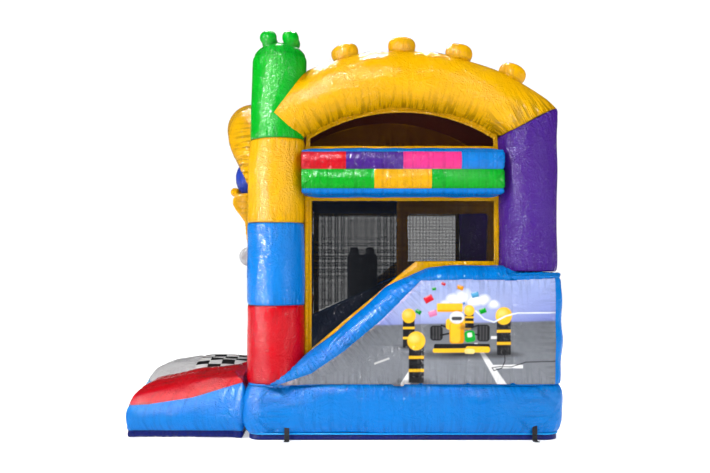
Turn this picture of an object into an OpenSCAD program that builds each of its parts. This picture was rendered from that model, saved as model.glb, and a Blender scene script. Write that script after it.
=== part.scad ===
// Inflatable bounce house with a jump floor, a slide lane, four towers and its blower.
// Millimetres, +Z up, the front faces -Y, the slide lane is on the +X side.

/* [Base] */
// outside width across the two side walls
base_w = 3500; // [3300:50:3800]
// outside length from the front edge to the rear edge
base_l = 3200; // [3100:50:3400]
// height of the floor mattress
base_h = 560; // [500:10:620]
// height of the dark ground sheet turned up the side
strip_h = 65; // [40:5:100]
// thickness of a hollow chamber's skin
skin = 30; // [20:2:40]

/* [Towers] */
// radius of the four corner columns
col_r = 295; // [270:5:310]
// top of the red band
red_top = 1350; // [1200:10:1500]
// top of the blue band
blue_top = 2190; // [2100:10:2300]
// top of the yellow band
yellow_top = 3040; // [2950:10:3100]
// height where the green dome starts
dome_low = 3860; // [3800:10:3900]
// height of the green dome's crown
dome_top = 4050; // [4000:10:4100]

/* [Arches] */
// radius of the inflated arch tubes
arch_r = 290; // [260:5:300]
// radius of the side arch's centre line
side_arc_r = 2120; // [2000:10:2200]
// height of the side arch's centre
side_arc_z = 1550; // [1500:10:1600]
// radius of the front arch's centre line
front_arc_r = 1638; // [1600:1:1700]
// forward lean of the front arch
front_lean = 24; // [15:1:30]

/* [Pads] */
// how far the landing pad reaches ahead of the base
pad_len = 1240; // [1100:10:1300]
// how far the entrance step reaches ahead of the base
step_len = 1480; // [1300:10:1500]

/* [Hidden] */
$fn = 64;
hw = base_w / 2;
hl = base_l / 2;
col_x = hw - col_r;
col_y = hl - 300;
cut_r = col_r + 1.5;
base_r = 160;
wall_x0 = 1447;
wall_x1 = 1742;
crest_x = 1594.5;
crest_r = 150;
crest = [[1300, 1545], [954, 1600], [296, 1564], [-87, 1386], [-565, 944], [-847, 741], [-1010, 592]];
mitre_z = side_arc_z + sqrt(side_arc_r * side_arc_r - col_y * col_y);
mitre_deg = 26.1;
ring_spots = [[hw, -1170, 0], [hw, 1310, 0], [-hw, -1170, 180], [-hw, 1310, 180], [1100, hl, 90], [-1100, hl, 90]];

// ---- shared shapes ----
module box3(x0, x1, y0, y1, z0, z1) {
  translate([x0, y0, z0])
    cube([x1 - x0, y1 - y0, z1 - z0]);
}

module round_rect(w, l, r) {
  square([w, l - 2 * r], center = true);
  square([w - 2 * r, l], center = true);
  for (sx = [-1, 1])
    for (sy = [-1, 1])
      translate([sx * (w / 2 - r), sy * (l / 2 - r)])
        circle(r = r);
}

// a profile in Y and Z, pushed along +X
module yz(x0, t) {
  translate([x0, 0, 0])
    rotate([90, 0, 90])
      linear_extrude(height = t)
        children();
}

// a profile in X and Z, pushed along -Y
module xz(y1, t) {
  translate([0, y1, 0])
    rotate([90, 0, 0])
      linear_extrude(height = t)
        children();
}

module rod_yz(x, a, b, r) {
  d = b - a;
  translate([x, a[0], a[1]])
    rotate([-atan2(d[0], d[1]), 0, 0])
      cylinder(r = r, h = norm(d));
}

module tower_cuts() {
  for (sy = [-1, 1])
    translate([col_x, sy * col_y, 500])
      cylinder(r = cut_r, h = 4000);
}

// ---- floor mattress ----
module ground_sheet() {
  color("#0a1a80")
    difference() {
      linear_extrude(height = strip_h)
        round_rect(base_w - 30, base_l - 30, base_r - 15);
      translate([0, 0, 12])
        linear_extrude(height = strip_h)
          round_rect(base_w - 54, base_l - 54, base_r - 27);
    }
}

module base_side_band() {
  color("#1588ea")
    difference() {
      translate([0, 0, strip_h])
        linear_extrude(height = base_h - 12 - strip_h)
          round_rect(base_w, base_l, base_r);
      linear_extrude(height = base_h)
        round_rect(base_w - 2 * skin, base_l - 2 * skin, base_r - skin);
      translate([-hw - 5, 1000, 230])
        rotate([0, 90, 0])
          cylinder(r = 128, h = 60);
    }
}

module jump_floor() {
  color("#1588ea") {
    translate([0, 0, base_h - 12])
      linear_extrude(height = 12)
        round_rect(base_w, base_l, base_r);
    difference() {
      xz(1290, 2880)
        intersection() {
          for (i = [0 : 3])
            translate([-1260 + 360 * i, base_h + 40 - 425])
              circle(r = 425);
          translate([-1440, base_h - 2])
            square([1438, 60]);
        }
      translate([-col_x, -col_y, 500])
        cylinder(r = cut_r, h = 200);
      box3(-1500, -1157, 1001, 1400, 500, 700);
      translate([0, -1426, base_h - 40])
        rotate([4.85, 0, 0])
          cylinder(r = 142, h = 200);
    }
  }
}

module floor_baffles() {
  color("#d8dce0")
    for (x = [-1080 : 360 : 1080])
      difference() {
        box3(x - 2, x + 2, -1400, 1400, 12, base_h - 12);
        for (y = [-900, 0, 900])
          translate([x - 10, y, 290])
            rotate([0, 90, 0])
              cylinder(r = 90, h = 20);
      }
}

// ---- walls ----
module wall_blank() {
  yz(wall_x0, wall_x1 - wall_x0)
    polygon(concat(crest, [[-1010, base_h], [1300, base_h]]));
  for (i = [0 : len(crest) - 2])
    rod_yz(crest_x, crest[i], crest[i + 1], crest_r);
  for (i = [1 : len(crest) - 1])
    translate([crest_x, crest[i][0], crest[i][1]])
      sphere(r = crest_r + 1);
}

module side_wall() {
  color("#1588ea")
    difference() {
      union() {
        wall_blank();
        translate([(wall_x1 + 1161) / 2, col_y, base_h])
          linear_extrude(height = 1690 - base_h)
            round_rect(wall_x1 - 1161, 590, 150);
      }
      translate([col_x, -col_y, 500])
        cylinder(r = cut_r, h = 1500);
      translate([col_x, col_y, 1690])
        cylinder(r = cut_r, h = 300);
      box3(1300, 1800, -1400, 0, 0, base_h);
    }
}

module side_wall_right() {
  side_wall();
}

module side_wall_left() {
  mirror([1, 0, 0])
    side_wall();
}

module rear_wall() {
  color("#1588ea")
    union() {
      box3(-1157, 1157, 1305, 1595, base_h, 1545);
      translate([-1157, 1450, 1545])
        rotate([0, 90, 0])
          cylinder(r = 147, h = 2314);
    }
}

module print_panel() {
  color("#7f9fe0")
    yz(wall_x1, 6)
      polygon([[-985, 640], [-926, 683], [-605, 900], [-240, 1205], [172, 1610], [1440, 1610],
        [1440, 562], [-985, 562]]);
}

module print_panel_right() {
  print_panel();
}

module print_panel_left() {
  mirror([1, 0, 0])
    print_panel();
}

// ---- front towers ----
module band(z0, z1) {
  rotate_extrude()
    polygon([[col_r - skin, z0], [col_r - 9, z0], [col_r, z0 + 30], [col_r, z1 - 30],
      [col_r - 9, z1], [col_r - skin, z1]]);
}

module at_tower(sx) {
  translate([sx * col_x, -col_y, 0])
    children();
}

module green_top() {
  inner = col_r - skin;
  high = dome_top - dome_low;
  rotate_extrude()
    polygon(concat([[inner, yellow_top], [col_r - 9, yellow_top], [col_r, yellow_top + 30]],
      [for (a = [0 : 15 : 90]) [col_r * cos(a), dome_low + high * sin(a)]],
      [for (a = [90 : -15 : 0]) [inner * cos(a), dome_low + (high - skin) * sin(a)]]));
}

module tower_right_red_band() {
  color("#eb0019")
    at_tower(1)
      band(base_h, red_top);
}

module tower_left_red_band() {
  color("#eb0019")
    at_tower(-1)
      band(base_h, red_top);
}

module tower_right_blue_band() {
  color("#1588ea")
    at_tower(1)
      band(red_top, blue_top);
}

module tower_left_blue_band() {
  color("#1588ea")
    at_tower(-1)
      band(red_top, blue_top);
}

module tower_right_yellow_band() {
  color("#ffc800")
    at_tower(1)
      band(blue_top, yellow_top);
}

module tower_left_yellow_band() {
  color("#ffc800")
    at_tower(-1)
      band(blue_top, yellow_top);
}

module tower_right_green_top() {
  color("#00be14")
    at_tower(1)
      green_top();
}

module tower_left_green_top() {
  color("#00be14")
    at_tower(-1)
      green_top();
}

module tower_knobs() {
  color("#00be14")
    for (sx = [-1, 1])
      at_tower(sx)
        for (a = [45 : 90 : 315])
          rotate([0, 0, a])
            translate([150, 0, dome_low + 100])
              rotate([0, 7, 0])
                rotate_extrude()
                  polygon([[0, 0], [72, 0], [80, 60], [80, 175], [66, 212], [36, 234], [0, 240]]);
}

// ---- rear pillars and arches ----
module mitre_block(up) {
  translate([0, col_y, mitre_z])
    rotate([mitre_deg, 0, 0])
      translate([0, -700, up ? 0 : -1400])
        cube([2000, 1400, 1400]);
}

module rear_pillar() {
  color("#4b19a5")
    difference() {
      translate([col_x, col_y, 1690])
        cylinder(r = col_r, h = 1900);
      translate([col_x, col_y, 1680])
        cylinder(r = col_r - skin, h = 2000);
      mitre_block(true);
    }
}

module rear_pillar_right() {
  rear_pillar();
}

module rear_pillar_left() {
  mirror([1, 0, 0])
    rear_pillar();
}

module side_arch() {
  a0 = acos(col_y / side_arc_r) - 7;
  a1 = 180 - acos(col_y / side_arc_r);
  color("#ffc800")
    difference() {
      translate([col_x, 0, side_arc_z])
        rotate([90, 0, 90])
          rotate([0, 0, a0])
            rotate_extrude(angle = a1 - a0)
              translate([side_arc_r, 0])
                circle(r = arch_r);
      translate([col_x, -col_y, 2500])
        cylinder(r = cut_r, h = 1600);
      mitre_block(false);
    }
}

module side_arch_right() {
  side_arch();
}

module side_arch_left() {
  mirror([1, 0, 0])
    side_arch();
}

module arch_knobs() {
  color("#ffc800")
    for (sx = [-1, 1])
      for (a = [-13.8, 0, 13.8, 27.6])
        translate([sx * col_x, 0, side_arc_z])
          rotate([-a, 0, 0])
            translate([0, 0, side_arc_r + arch_r - 40])
              rotate_extrude()
                polygon([[0, 0], [128, 0], [140, 60], [138, 120], [112, 160], [60, 178], [0, 183]]);
}

module front_arch() {
  half = asin(col_x / front_arc_r);
  drop = front_arc_r * cos(half);
  color("#ffc800")
    difference() {
      translate([0, -col_y + drop * sin(front_lean), 2550 - drop * cos(front_lean)])
        rotate([front_lean + 90, 0, 0])
          rotate([0, 0, 90 - half])
            rotate_extrude(angle = 2 * half)
              translate([front_arc_r, 0])
                circle(r = arch_r);
      for (sx = [-1, 1])
        translate([sx * col_x, -col_y, 1500])
          cylinder(r = cut_r, h = 2500);
    }
}

module rear_header() {
  color("#ffc800")
    difference() {
      translate([-1300, col_y, 3020])
        rotate([0, 90, 0])
          cylinder(r = 190, h = 2600);
      for (sx = [-1, 1])
        translate([sx * col_x, col_y, 1500])
          cylinder(r = cut_r, h = 2500);
    }
}

module side_header() {
  top = [[-1050, -580], [-576, -5], [-1, 580], [584, 1040]];
  low = [[-1050, -295], [-291, 280], [284, 1040]];
  color("#1588ea")
    difference() {
      union() {
        difference() {
          box3(1400, 1740, -1050, 1050, 2470, 2940);
          box3(1400 + skin, 1740 - skin, -940, 940, 2470 + skin, 2940 - skin);
        }
        for (b = top)
          box3(1735, 1750, b[0], b[1], 2727, 2900);
        for (b = low)
          box3(1735, 1750, b[0], b[1], 2530, 2723);
      }
      tower_cuts();
    }
}

module side_header_right() {
  side_header();
}

module side_header_left() {
  mirror([1, 0, 0])
    side_header();
}

// ---- roof and mesh windows ----
module roof_sheet() {
  path = concat([for (a = [38 : -3 : -34]) [sin(a), cos(a)]]);
  color("#8a1420")
    yz(-1157, 2314)
      polygon(concat([for (p = path) [2092 * p[0], side_arc_z + 2092 * p[1]]],
        [[-1405, 3333], [-1405, 3329]],
        [for (i = [len(path) - 1 : -1 : 0]) [2088 * path[i][0], side_arc_z + 2088 * path[i][1]]]));
}

module lower_mesh() {
  color("#20242c")
    yz(1453, 4)
      polygon([[1004, 2470], [1004, 1640], [954, 1648], [300, 1612], [-120, 1430], [-600, 988],
        [-880, 785], [-1004, 670], [-1004, 2470]]);
}

module lower_mesh_right() {
  lower_mesh();
}

module lower_mesh_left() {
  mirror([1, 0, 0])
    lower_mesh();
}

module upper_mesh() {
  inner = side_arc_r - arch_r + 2;
  color("#20242c")
    yz(1453, 4)
      polygon(concat([[1004, 2940]],
        [for (a = [33 : -3 : -33]) [inner * sin(a), side_arc_z + inner * cos(a)]],
        [[-1004, 2940]]));
}

module upper_mesh_right() {
  upper_mesh();
}

module upper_mesh_left() {
  mirror([1, 0, 0])
    upper_mesh();
}

module rear_mesh() {
  color("#20242c")
    box3(-1157, 1157, 1306, 1310, 1560, 2840);
}

module hems() {
  yz(1457, 16)
    difference() {
      polygon([[1004, 2470], [1004, 1645], [954, 1650], [300, 1615], [-120, 1432], [-600, 990],
        [-880, 787], [-1004, 675], [-1004, 2470]]);
      polygon([[950, 2420], [950, 1800], [140, 1795], [-930, 900], [-930, 2420]]);
    }
  yz(1457, 16)
    difference() {
      intersection() {
        translate([-1004, 2940])
          square([2008, 440]);
        translate([0, side_arc_z])
          circle(r = side_arc_r - arch_r + 2);
      }
      intersection() {
        translate([-950, 2990])
          square([1900, 440]);
        translate([0, side_arc_z])
          circle(r = side_arc_r - arch_r - 45);
      }
    }
}

module window_frames() {
  color("#ffc800") {
    hems();
    mirror([1, 0, 0])
      hems();
  }
}

// ---- inside the castle ----
module slide_ramp() {
  color("#ffc800")
    difference() {
      yz(152, 1288)
        polygon([[350, base_h], [350, 1250], [250, 1225], [100, 1160], [-100, 1060], [-400, 905],
          [-700, 755], [-900, 670], [-1100, 625], [-1350, 602], [-1590, 600], [-1590, base_h]]);
      translate([col_x, -col_y, 500])
        cylinder(r = cut_r, h = 1000);
    }
}

module rear_platform() {
  color("#1588ea")
    difference() {
      box3(152, 1440, 350, 1305, base_h, 1250);
      box3(152 + skin, 1440 - skin, 350 + skin, 1305 - skin, base_h + skin, 1250 - skin);
      box3(1157, 1500, 1001, 1400, 500, 1500);
    }
}

module divider_wall() {
  color("#eb0019")
    yz(2, 150)
      difference() {
        polygon([[-1270, base_h], [-1270, 960], [-1180, 1080], [40, 1608], [40, 2520], [1302, 2520],
          [1302, base_h]]);
        translate([170, 1250])
          square([950, 1110]);
      }
}

module divider_mesh() {
  color("#20242c")
    yz(75, 4)
      polygon([[-1290, 1042], [38, 1615], [38, 2500], [-1290, 2500]]);
}

module climb_steps() {
  color("#00be14")
    xz(1140, 720)
      polygon([[-460, base_h], [-460, 830], [-230, 830], [-230, 1050], [2, 1050], [2, base_h]]);
}

module bop_post() {
  color("#202a38")
    translate([-820, -350, 0]) {
      translate([0, 0, base_h])
        linear_extrude(height = 1330)
          round_rect(300, 400, 60);
      for (x = [-75, 75])
        for (y = [-100, 100])
          translate([x, y, 1880])
            cylinder(r = 62, h = 105);
    }
}

// ---- pads in front ----
module landing_shape(x0, x1, g) {
  yf = -hl - 2 - pad_len;
  yz(x0, x1 - x0)
    polygon([[-hl - 2 - g, g], [-hl - 2 - g, 612 - g], [yf + 1010, 520 - g], [yf + 560, 425 - g],
      [yf + 200, 382 - g], [yf + 60, 368 - g], [yf + 12 + g, 330 - g], [yf + g, 260], [yf + g, g]]);
}

// the crown of the pad's top, narrower the higher it stands
module landing_crown(x0, x1, rise) {
  yf = -hl - 2 - pad_len;
  yz(x0, x1 - x0)
    polygon([[-hl - 22, 300], [-hl - 22, 590 + 0.5 * rise], [yf + 700, 445 + rise],
      [yf + 280, 385 + rise], [yf + 120, 355 + rise], [yf + 60, 340 + 0.3 * rise], [yf + 60, 300]]);
}

module landing_pad() {
  color("#eb0019")
    difference() {
      union() {
        landing_shape(200, 1650, 0);
        landing_crown(310, 1540, 55);
        landing_crown(480, 1370, 95);
      }
      landing_shape(200 + skin, 1650 - skin, skin);
    }
}

module step_shape(x0, x1, g) {
  yf = -hl - 2 - step_len;
  intersection() {
    yz(x0, x1 - x0)
      polygon([[-hl - 2 - g, g], [-hl - 2 - g, 525 - g], [yf + 1000, 542 - g], [yf + 600, 535 - g],
        [yf + 300, 495 - g], [yf + 120, 430 - g], [yf + 30 + g, 350 - g], [yf + g, 280],
        [yf + g, 120], [yf + 30 + g, g]]);
    xz(-hl, step_len + 10)
      polygon([[x0 + g, g], [x0 + g, 340 - g], [x0 + 60 + g, 405 - g], [x0 + 220, 485 - g],
        [x0 + 480, 532 - g], [(x0 + x1) / 2, 544 - g], [x1 - 480, 532 - g], [x1 - 220, 485 - g],
        [x1 - 60 - g, 405 - g], [x1 - g, 340 - g], [x1 - g, g]]);
  }
}

module entrance_step() {
  color("#6e6e73")
    difference() {
      step_shape(-1600, -100, 0);
      step_shape(-1600 + skin, -100 - skin, skin);
    }
}

// ---- front post and its raised toy ----
module front_post() {
  color("#1588ea")
    difference() {
      translate([0, -1426, base_h - 40])
        rotate([4.85, 0, 0])
          cylinder(r = 140, h = 2620);
      box3(-300, 300, -1800, -1200, 400, base_h);
    }
}

module front_ornament() {
  color("#ffc800") {
    translate([0, -1700, 2765])
      rotate([90, 0, 0])
        rotate_extrude()
          polygon([[0, 0], [205, 0], [215, 50], [190, 110], [120, 165], [50, 188], [0, 190]]);
    yz(-230, 460)
      polygon([[-1640, 1900], [-1700, 1880], [-1735, 2000], [-1760, 2260], [-1810, 2330],
        [-1870, 2400], [-1910, 2470], [-1905, 2540], [-1840, 2600], [-1690, 2610]]);
    for (x = [-120, 0, 120])
      translate([x, -1890, 2620])
        sphere(r = 55);
  }
}

module ornament_wheels() {
  color("#b8bcc2")
    for (x = [-310, 230])
      translate([x, -1710, 1850])
        rotate([0, 90, 0])
          rotate_extrude()
            polygon([[0, 0], [92, 0], [110, 18], [110, 62], [92, 80], [0, 80]]);
}

// ---- anchors ----
module tab() {
  box3(0, 3, -25, 25, 4, 190);
  box3(3, 76, -25, 25, 4, 7);
  difference() {
    translate([80, 25, 8])
      rotate([90, 0, 0])
        cylinder(r = 7.4, h = 50);
    translate([80, 26, 8])
      rotate([90, 0, 0])
        cylinder(r = 4.4, h = 52);
  }
}

module d_ring(i) {
  color("#b8bcc2")
    translate([ring_spots[i][0], ring_spots[i][1], 0])
      rotate([0, 0, ring_spots[i][2]])
        translate([80, 0, 8]) {
          translate([0, 0, -3.2])
            linear_extrude(height = 6.4)
              difference() {
                intersection() {
                  circle(r = 36);
                  translate([0, -40])
                    square([40, 80]);
                }
                circle(r = 29);
              }
          translate([0, 39, 0])
            rotate([90, 0, 0])
              cylinder(r = 4, h = 78);
        }
}

module anchor_tabs() {
  color("#15161a")
    for (s = ring_spots)
      translate([s[0], s[1], 0])
        rotate([0, 0, s[2]])
          tab();
}

module ring_right_front() {
  d_ring(0);
}

module ring_right_rear() {
  d_ring(1);
}

module ring_left_front() {
  d_ring(2);
}

module ring_left_rear() {
  d_ring(3);
}

module ring_back_right() {
  d_ring(4);
}

module ring_back_left() {
  d_ring(5);
}

// ---- deflation zip ----
module zip_tape() {
  color("#15161a") {
    box3(-300, 330, hl, hl + 2, 282, 318);
    for (z = [298.2, 301.8])
      translate([-300, hl + 2.6, z])
        rotate([0, 90, 0])
          cylinder(r = 1.5, h = 630);
  }
}

module zip_slider() {
  color("#b8bcc2")
    translate([-280, hl, 300]) {
      difference() {
        box3(0, 26, 2.4, 9, -9, 9);
        box3(-1, 27, 2, 4.6, -4, 4);
      }
      difference() {
        box3(6, 16, 8.5, 14, -3, 3);
        translate([11, 11.5, -4])
          cylinder(r = 1.6, h = 8);
      }
      box3(4, 18, 14.0, 16.5, -46, -2);
      box3(4, 18, 11, 16.5, -6, -2);
    }
}

// ---- sleeve and blower ----
module inflation_sleeve() {
  color("#1588ea")
    difference() {
      translate([-2430, 1000, 230])
        rotate([0, 90, 0])
          cylinder(r = 140, h = 2430 - hw);
      translate([-2440, 1000, 230])
        rotate([0, 90, 0])
          cylinder(r = 128, h = 2460 - hw);
    }
}

module sleeve_strap() {
  color("#15161a") {
    difference() {
      translate([-2395, 1000, 230])
        rotate([0, 90, 0])
          cylinder(r = 144, h = 40);
      translate([-2400, 1000, 230])
        rotate([0, 90, 0])
          cylinder(r = 140, h = 50);
    }
    box3(-2402, -2348, 975, 1025, 372, 384);
  }
}

module blower_housing() {
  color("#e07818")
    difference() {
      union() {
        translate([-2760, 1170, 330])
          rotate([90, 0, 0])
            cylinder(r = 240, h = 340);
        box3(-2760, -2470, 835, 1165, 92, 380);
        translate([-2475, 1000, 230])
          rotate([0, 90, 0])
            cylinder(r = 128, h = 125);
        box3(-2920, -2600, 840, 870, 0, 300);
        box3(-2920, -2600, 1130, 1160, 0, 300);
      }
      translate([-2760, 1158, 330])
        rotate([90, 0, 0])
          cylinder(r = 228, h = 316);
      box3(-2760, -2482, 847, 1153, 104, 368);
      translate([-2490, 1000, 230])
        rotate([0, 90, 0])
          cylinder(r = 118, h = 160);
      for (i = [-2 : 2])
        box3(-2769 + 34 * i, -2751 + 34 * i, 820, 850, 330 - 100 + 12 * abs(i), 430 - 12 * abs(i));
      translate([-2760, 1180, 330])
        rotate([90, 0, 0])
          cylinder(r = 80.3, h = 40);
      box3(-2690.3, -2649.7, 969.7, 1030.3, 530, 580);
      box3(-2650, -2870, 960, 1040, 600, 640);
    }
}

module blower_motor() {
  color("#30343a") {
    translate([-2760, 1290, 330])
      rotate([90, 0, 0])
        cylinder(r = 80, h = 150);
    translate([-2760, 1200, 330])
      rotate([90, 0, 0])
        cylinder(r = 100, h = 30);
    translate([-2760, 1145, 330])
      rotate([90, 0, 0])
        cylinder(r = 9, h = 200);
  }
}

module blower_impeller() {
  color("#8a9098")
    translate([-2760, 1120, 330])
      rotate([90, 0, 0])
        difference() {
          union() {
            cylinder(r = 160, h = 4);
            cylinder(r = 28, h = 60);
            translate([0, 0, 196])
              difference() {
                cylinder(r = 160, h = 6);
                translate([0, 0, -1])
                  cylinder(r = 128, h = 8);
              }
            for (a = [0 : 20 : 340])
              rotate([0, 0, a])
                translate([130, -2, 2])
                  cube([28, 4, 198]);
          }
          translate([0, 0, -1])
            cylinder(r = 9.05, h = 80);
        }
}

module blower_switch() {
  color("#15161a")
    translate([-2670, 1000, 556])
      rotate([90, 0, 0]) {
        translate([0, 0, -26])
          linear_extrude(height = 52)
            polygon([[-17, -14], [17, -14], [18, 12], [0, 7], [-18, 14]]);
        translate([0, 0, -29])
          cylinder(r = 4, h = 58);
      }
}

ground_sheet();
base_side_band();
jump_floor();
floor_baffles();
side_wall_right();
side_wall_left();
rear_wall();
print_panel_right();
print_panel_left();
tower_right_red_band();
tower_right_blue_band();
tower_right_yellow_band();
tower_right_green_top();
tower_left_red_band();
tower_left_blue_band();
tower_left_yellow_band();
tower_left_green_top();
tower_knobs();
rear_pillar_right();
rear_pillar_left();
side_arch_right();
side_arch_left();
arch_knobs();
front_arch();
rear_header();
side_header_right();
side_header_left();
roof_sheet();
lower_mesh_right();
lower_mesh_left();
upper_mesh_right();
upper_mesh_left();
rear_mesh();
window_frames();
slide_ramp();
rear_platform();
divider_wall();
divider_mesh();
climb_steps();
bop_post();
landing_pad();
entrance_step();
front_post();
front_ornament();
ornament_wheels();
anchor_tabs();
ring_right_front();
ring_right_rear();
ring_left_front();
ring_left_rear();
ring_back_right();
ring_back_left();
zip_tape();
zip_slider();
inflation_sleeve();
sleeve_strap();
blower_housing();
blower_motor();
blower_impeller();
blower_switch();
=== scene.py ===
import math

import bpy
import numpy as np
from mathutils import Matrix, Vector


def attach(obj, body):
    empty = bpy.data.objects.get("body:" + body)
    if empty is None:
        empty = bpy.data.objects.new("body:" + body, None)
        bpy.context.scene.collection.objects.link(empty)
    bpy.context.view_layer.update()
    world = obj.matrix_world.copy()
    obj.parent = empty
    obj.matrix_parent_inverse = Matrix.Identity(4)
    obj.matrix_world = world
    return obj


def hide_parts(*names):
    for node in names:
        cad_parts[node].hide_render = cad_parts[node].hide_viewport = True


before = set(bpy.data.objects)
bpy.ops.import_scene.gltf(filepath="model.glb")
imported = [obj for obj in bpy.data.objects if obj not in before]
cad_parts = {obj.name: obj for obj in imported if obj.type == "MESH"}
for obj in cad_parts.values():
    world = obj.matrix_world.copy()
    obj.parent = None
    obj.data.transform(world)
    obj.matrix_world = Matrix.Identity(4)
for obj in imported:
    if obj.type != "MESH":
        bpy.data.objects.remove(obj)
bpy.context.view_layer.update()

# ---------------------------------------------------------------- camera
# A level view of the slide lane's side at eye height. There is no cord to lay: the blower's
# lead isn't part of this piece.
bpy.ops.object.select_all(action="DESELECT")
bpy.ops.object.camera_add(location=(10.31, -0.638, 1.80), rotation=(math.pi / 2, 0, math.pi / 2))
camera = bpy.context.object
camera.name = "studio_camera"
camera.data.lens = 43.4
camera.data.sensor_width = 36
camera.data.shift_x = 0.0211
camera.data.shift_y = 0.0345
camera.data.clip_end = 300
bpy.context.scene.camera = camera

# ---------------------------------------------------------------- studio
# A pale floor that runs out of sight, a pale room round it and large soft lamps on both sides.
bpy.ops.mesh.primitive_plane_add(size=160, location=(0, 0, -0.003))
floor = bpy.context.object
floor.name = "studio_floor"
floor_paint = bpy.data.materials.new("pale_floor")
floor_paint.use_nodes = True
FLOOR_LOOK = {
    "Base Color": (0.97, 0.97, 0.97, 1),
    "Roughness": 1.0,
    "Specular IOR Level": 0.0,
    "Emission Color": (1, 1, 1, 1),
    "Emission Strength": 0.48,
}
for label, value in FLOOR_LOOK.items():
    floor_paint.node_tree.nodes["Principled BSDF"].inputs[label].default_value = value
floor.data.materials.append(floor_paint)


def computed(tree, operation, *values):
    """One step of arithmetic between sockets or plain numbers."""
    step = tree.nodes.new("ShaderNodeMath")
    step.operation = operation
    for socket, value in zip(step.inputs, values):
        if isinstance(value, (int, float)):
            socket.default_value = value
        else:
            tree.links.new(value, socket)
    return step.outputs["Value"]


def remapped(tree, value, low, high, start=0.0, end=1.0, easing="LINEAR"):
    """Turns a value between start and end into one between low and high."""
    step = tree.nodes.new("ShaderNodeMapRange")
    step.interpolation_type = easing
    for label, number in (("From Min", start), ("From Max", end), ("To Min", low), ("To Max", high)):
        step.inputs[label].default_value = number
    tree.links.new(value, step.inputs["Value"])
    return step.outputs["Result"]


# the room looks white, lights the colours softly and is almost black in reflections
ROOM_LIGHT, ROOM_GLEAM = 0.56, 0.05
room = bpy.data.worlds.new("pale_room")
room.use_nodes = True
room_tree = room.node_tree
backdrop = room_tree.nodes["Background"]
backdrop.inputs["Color"].default_value = (1.04, 1.04, 1.04, 1)
rays = room_tree.nodes.new("ShaderNodeLightPath")
dimmed = remapped(room_tree, rays.outputs["Is Glossy Ray"], ROOM_LIGHT, ROOM_GLEAM)
room_tree.links.new(
    computed(room_tree, "MAXIMUM", rays.outputs["Is Camera Ray"], dimmed), backdrop.inputs["Strength"]
)
bpy.context.scene.world = room
bpy.context.scene.view_settings.view_transform = "Standard"

# place, width, height, power, and whether it lights the colours or gives the highlights
LAMPS = {
    "left_softbox": ((6.5, -7.5, 7.0), 2.4, 2.4, 860, True),
    "right_softbox": ((7.5, 6.5, 6.5), 2.4, 2.4, 360, True),
    "back_lamp": ((-8.0, 1.5, 7.0), 4.0, 4.0, 380, True),
    "left_strip": ((7.0, -8.0, 3.2), 0.34, 5.0, 3000, False),
    "right_strip": ((7.5, 7.0, 2.6), 0.25, 4.5, 500, False),
    "top_strip": ((6.4, -3.2, 6.8), 5.0, 0.20, 1900, False),
    "crest_strip": ((-2.6, -1.2, 8.6), 6.0, 0.20, 950, False),
}
for lamp_name, (spot, wide, tall, power, lights_colour) in LAMPS.items():
    aim = (Vector((0, -0.3, 1.8)) - Vector(spot)).to_track_quat("-Z", "Y").to_euler()
    bpy.ops.object.light_add(type="AREA", location=spot, rotation=aim)
    lamp = bpy.context.object
    lamp.name = lamp_name
    lamp.data.shape = "RECTANGLE"
    lamp.data.size, lamp.data.size_y = wide, tall
    lamp.data.energy = power
    lamp.visible_diffuse = lights_colour
    lamp.visible_glossy = not lights_colour

# ---------------------------------------------------------------- ground sheet
# The underside of the mattress: heavy dark blue vinyl, turned up the side by a hand's width
# and sewn to the wall of the mattress with a corded seam.
HALF_W, HALF_L, FLOOR_Z, STRIP_Z = 1.75, 1.60, 0.56, 0.065
CORNER_R = 0.16


def rounded_outline(half_w, half_l, radius, z, pitch=0.03):
    """Corners of a rectangle with round corners, an even pitch apart."""
    runs = []
    turns = max(4, round(radius * math.pi / 2 / pitch))
    for sx, sy, start in ((1, -1, -90), (1, 1, 0), (-1, 1, 90), (-1, -1, 180)):
        cx, cy = sx * (half_w - radius), sy * (half_l - radius)
        for i in range(turns + 1):
            a = math.radians(start + 90 * i / turns)
            runs.append((cx + radius * math.cos(a), cy + radius * math.sin(a)))
    path = []
    for a, b in zip(runs, runs[1:] + runs[:1]):
        parts = max(1, round(math.dist(a, b) / pitch))
        path += [
            (a[0] + (b[0] - a[0]) * k / parts, a[1] + (b[1] - a[1]) * k / parts, z)
            for k in range(parts)
        ]
    return path


def cut_panel(name, corners):
    """A flat panel with these corners, started as a ring of as many points."""
    bpy.ops.object.select_all(action="DESELECT")
    bpy.ops.mesh.primitive_circle_add(vertices=len(corners), fill_type="NGON")
    panel = bpy.context.object
    panel.name = panel.data.name = name
    panel.data.vertices.foreach_set("co", np.array(corners, float).ravel())
    return panel


def pick(piece):
    """Selects one piece alone and makes it active."""
    bpy.ops.object.select_all(action="DESELECT")
    piece.select_set(True)
    bpy.context.view_layer.objects.active = piece


def draw_out(panel, way, steps):
    """Extrudes a panel along a way in equal steps, faces outwards."""
    bpy.ops.object.mode_set(mode="EDIT")
    bpy.ops.mesh.select_all(action="SELECT")
    step = [w / steps for w in way]
    for _ in range(steps):
        bpy.ops.mesh.extrude_region_move(TRANSFORM_OT_translate={"value": step})
    bpy.ops.mesh.select_all(action="SELECT")
    bpy.ops.mesh.normals_make_consistent(inside=False)
    bpy.ops.object.mode_set(mode="OBJECT")
    return panel


def points_of(piece, what="co"):
    held = np.empty(len(piece.data.vertices) * 3)
    piece.data.vertices.foreach_get(what, held)
    return held.reshape(-1, 3)


def move_points(piece, co):
    piece.data.vertices.foreach_set("co", np.ascontiguousarray(co, float).ravel())
    piece.data.update()


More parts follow.
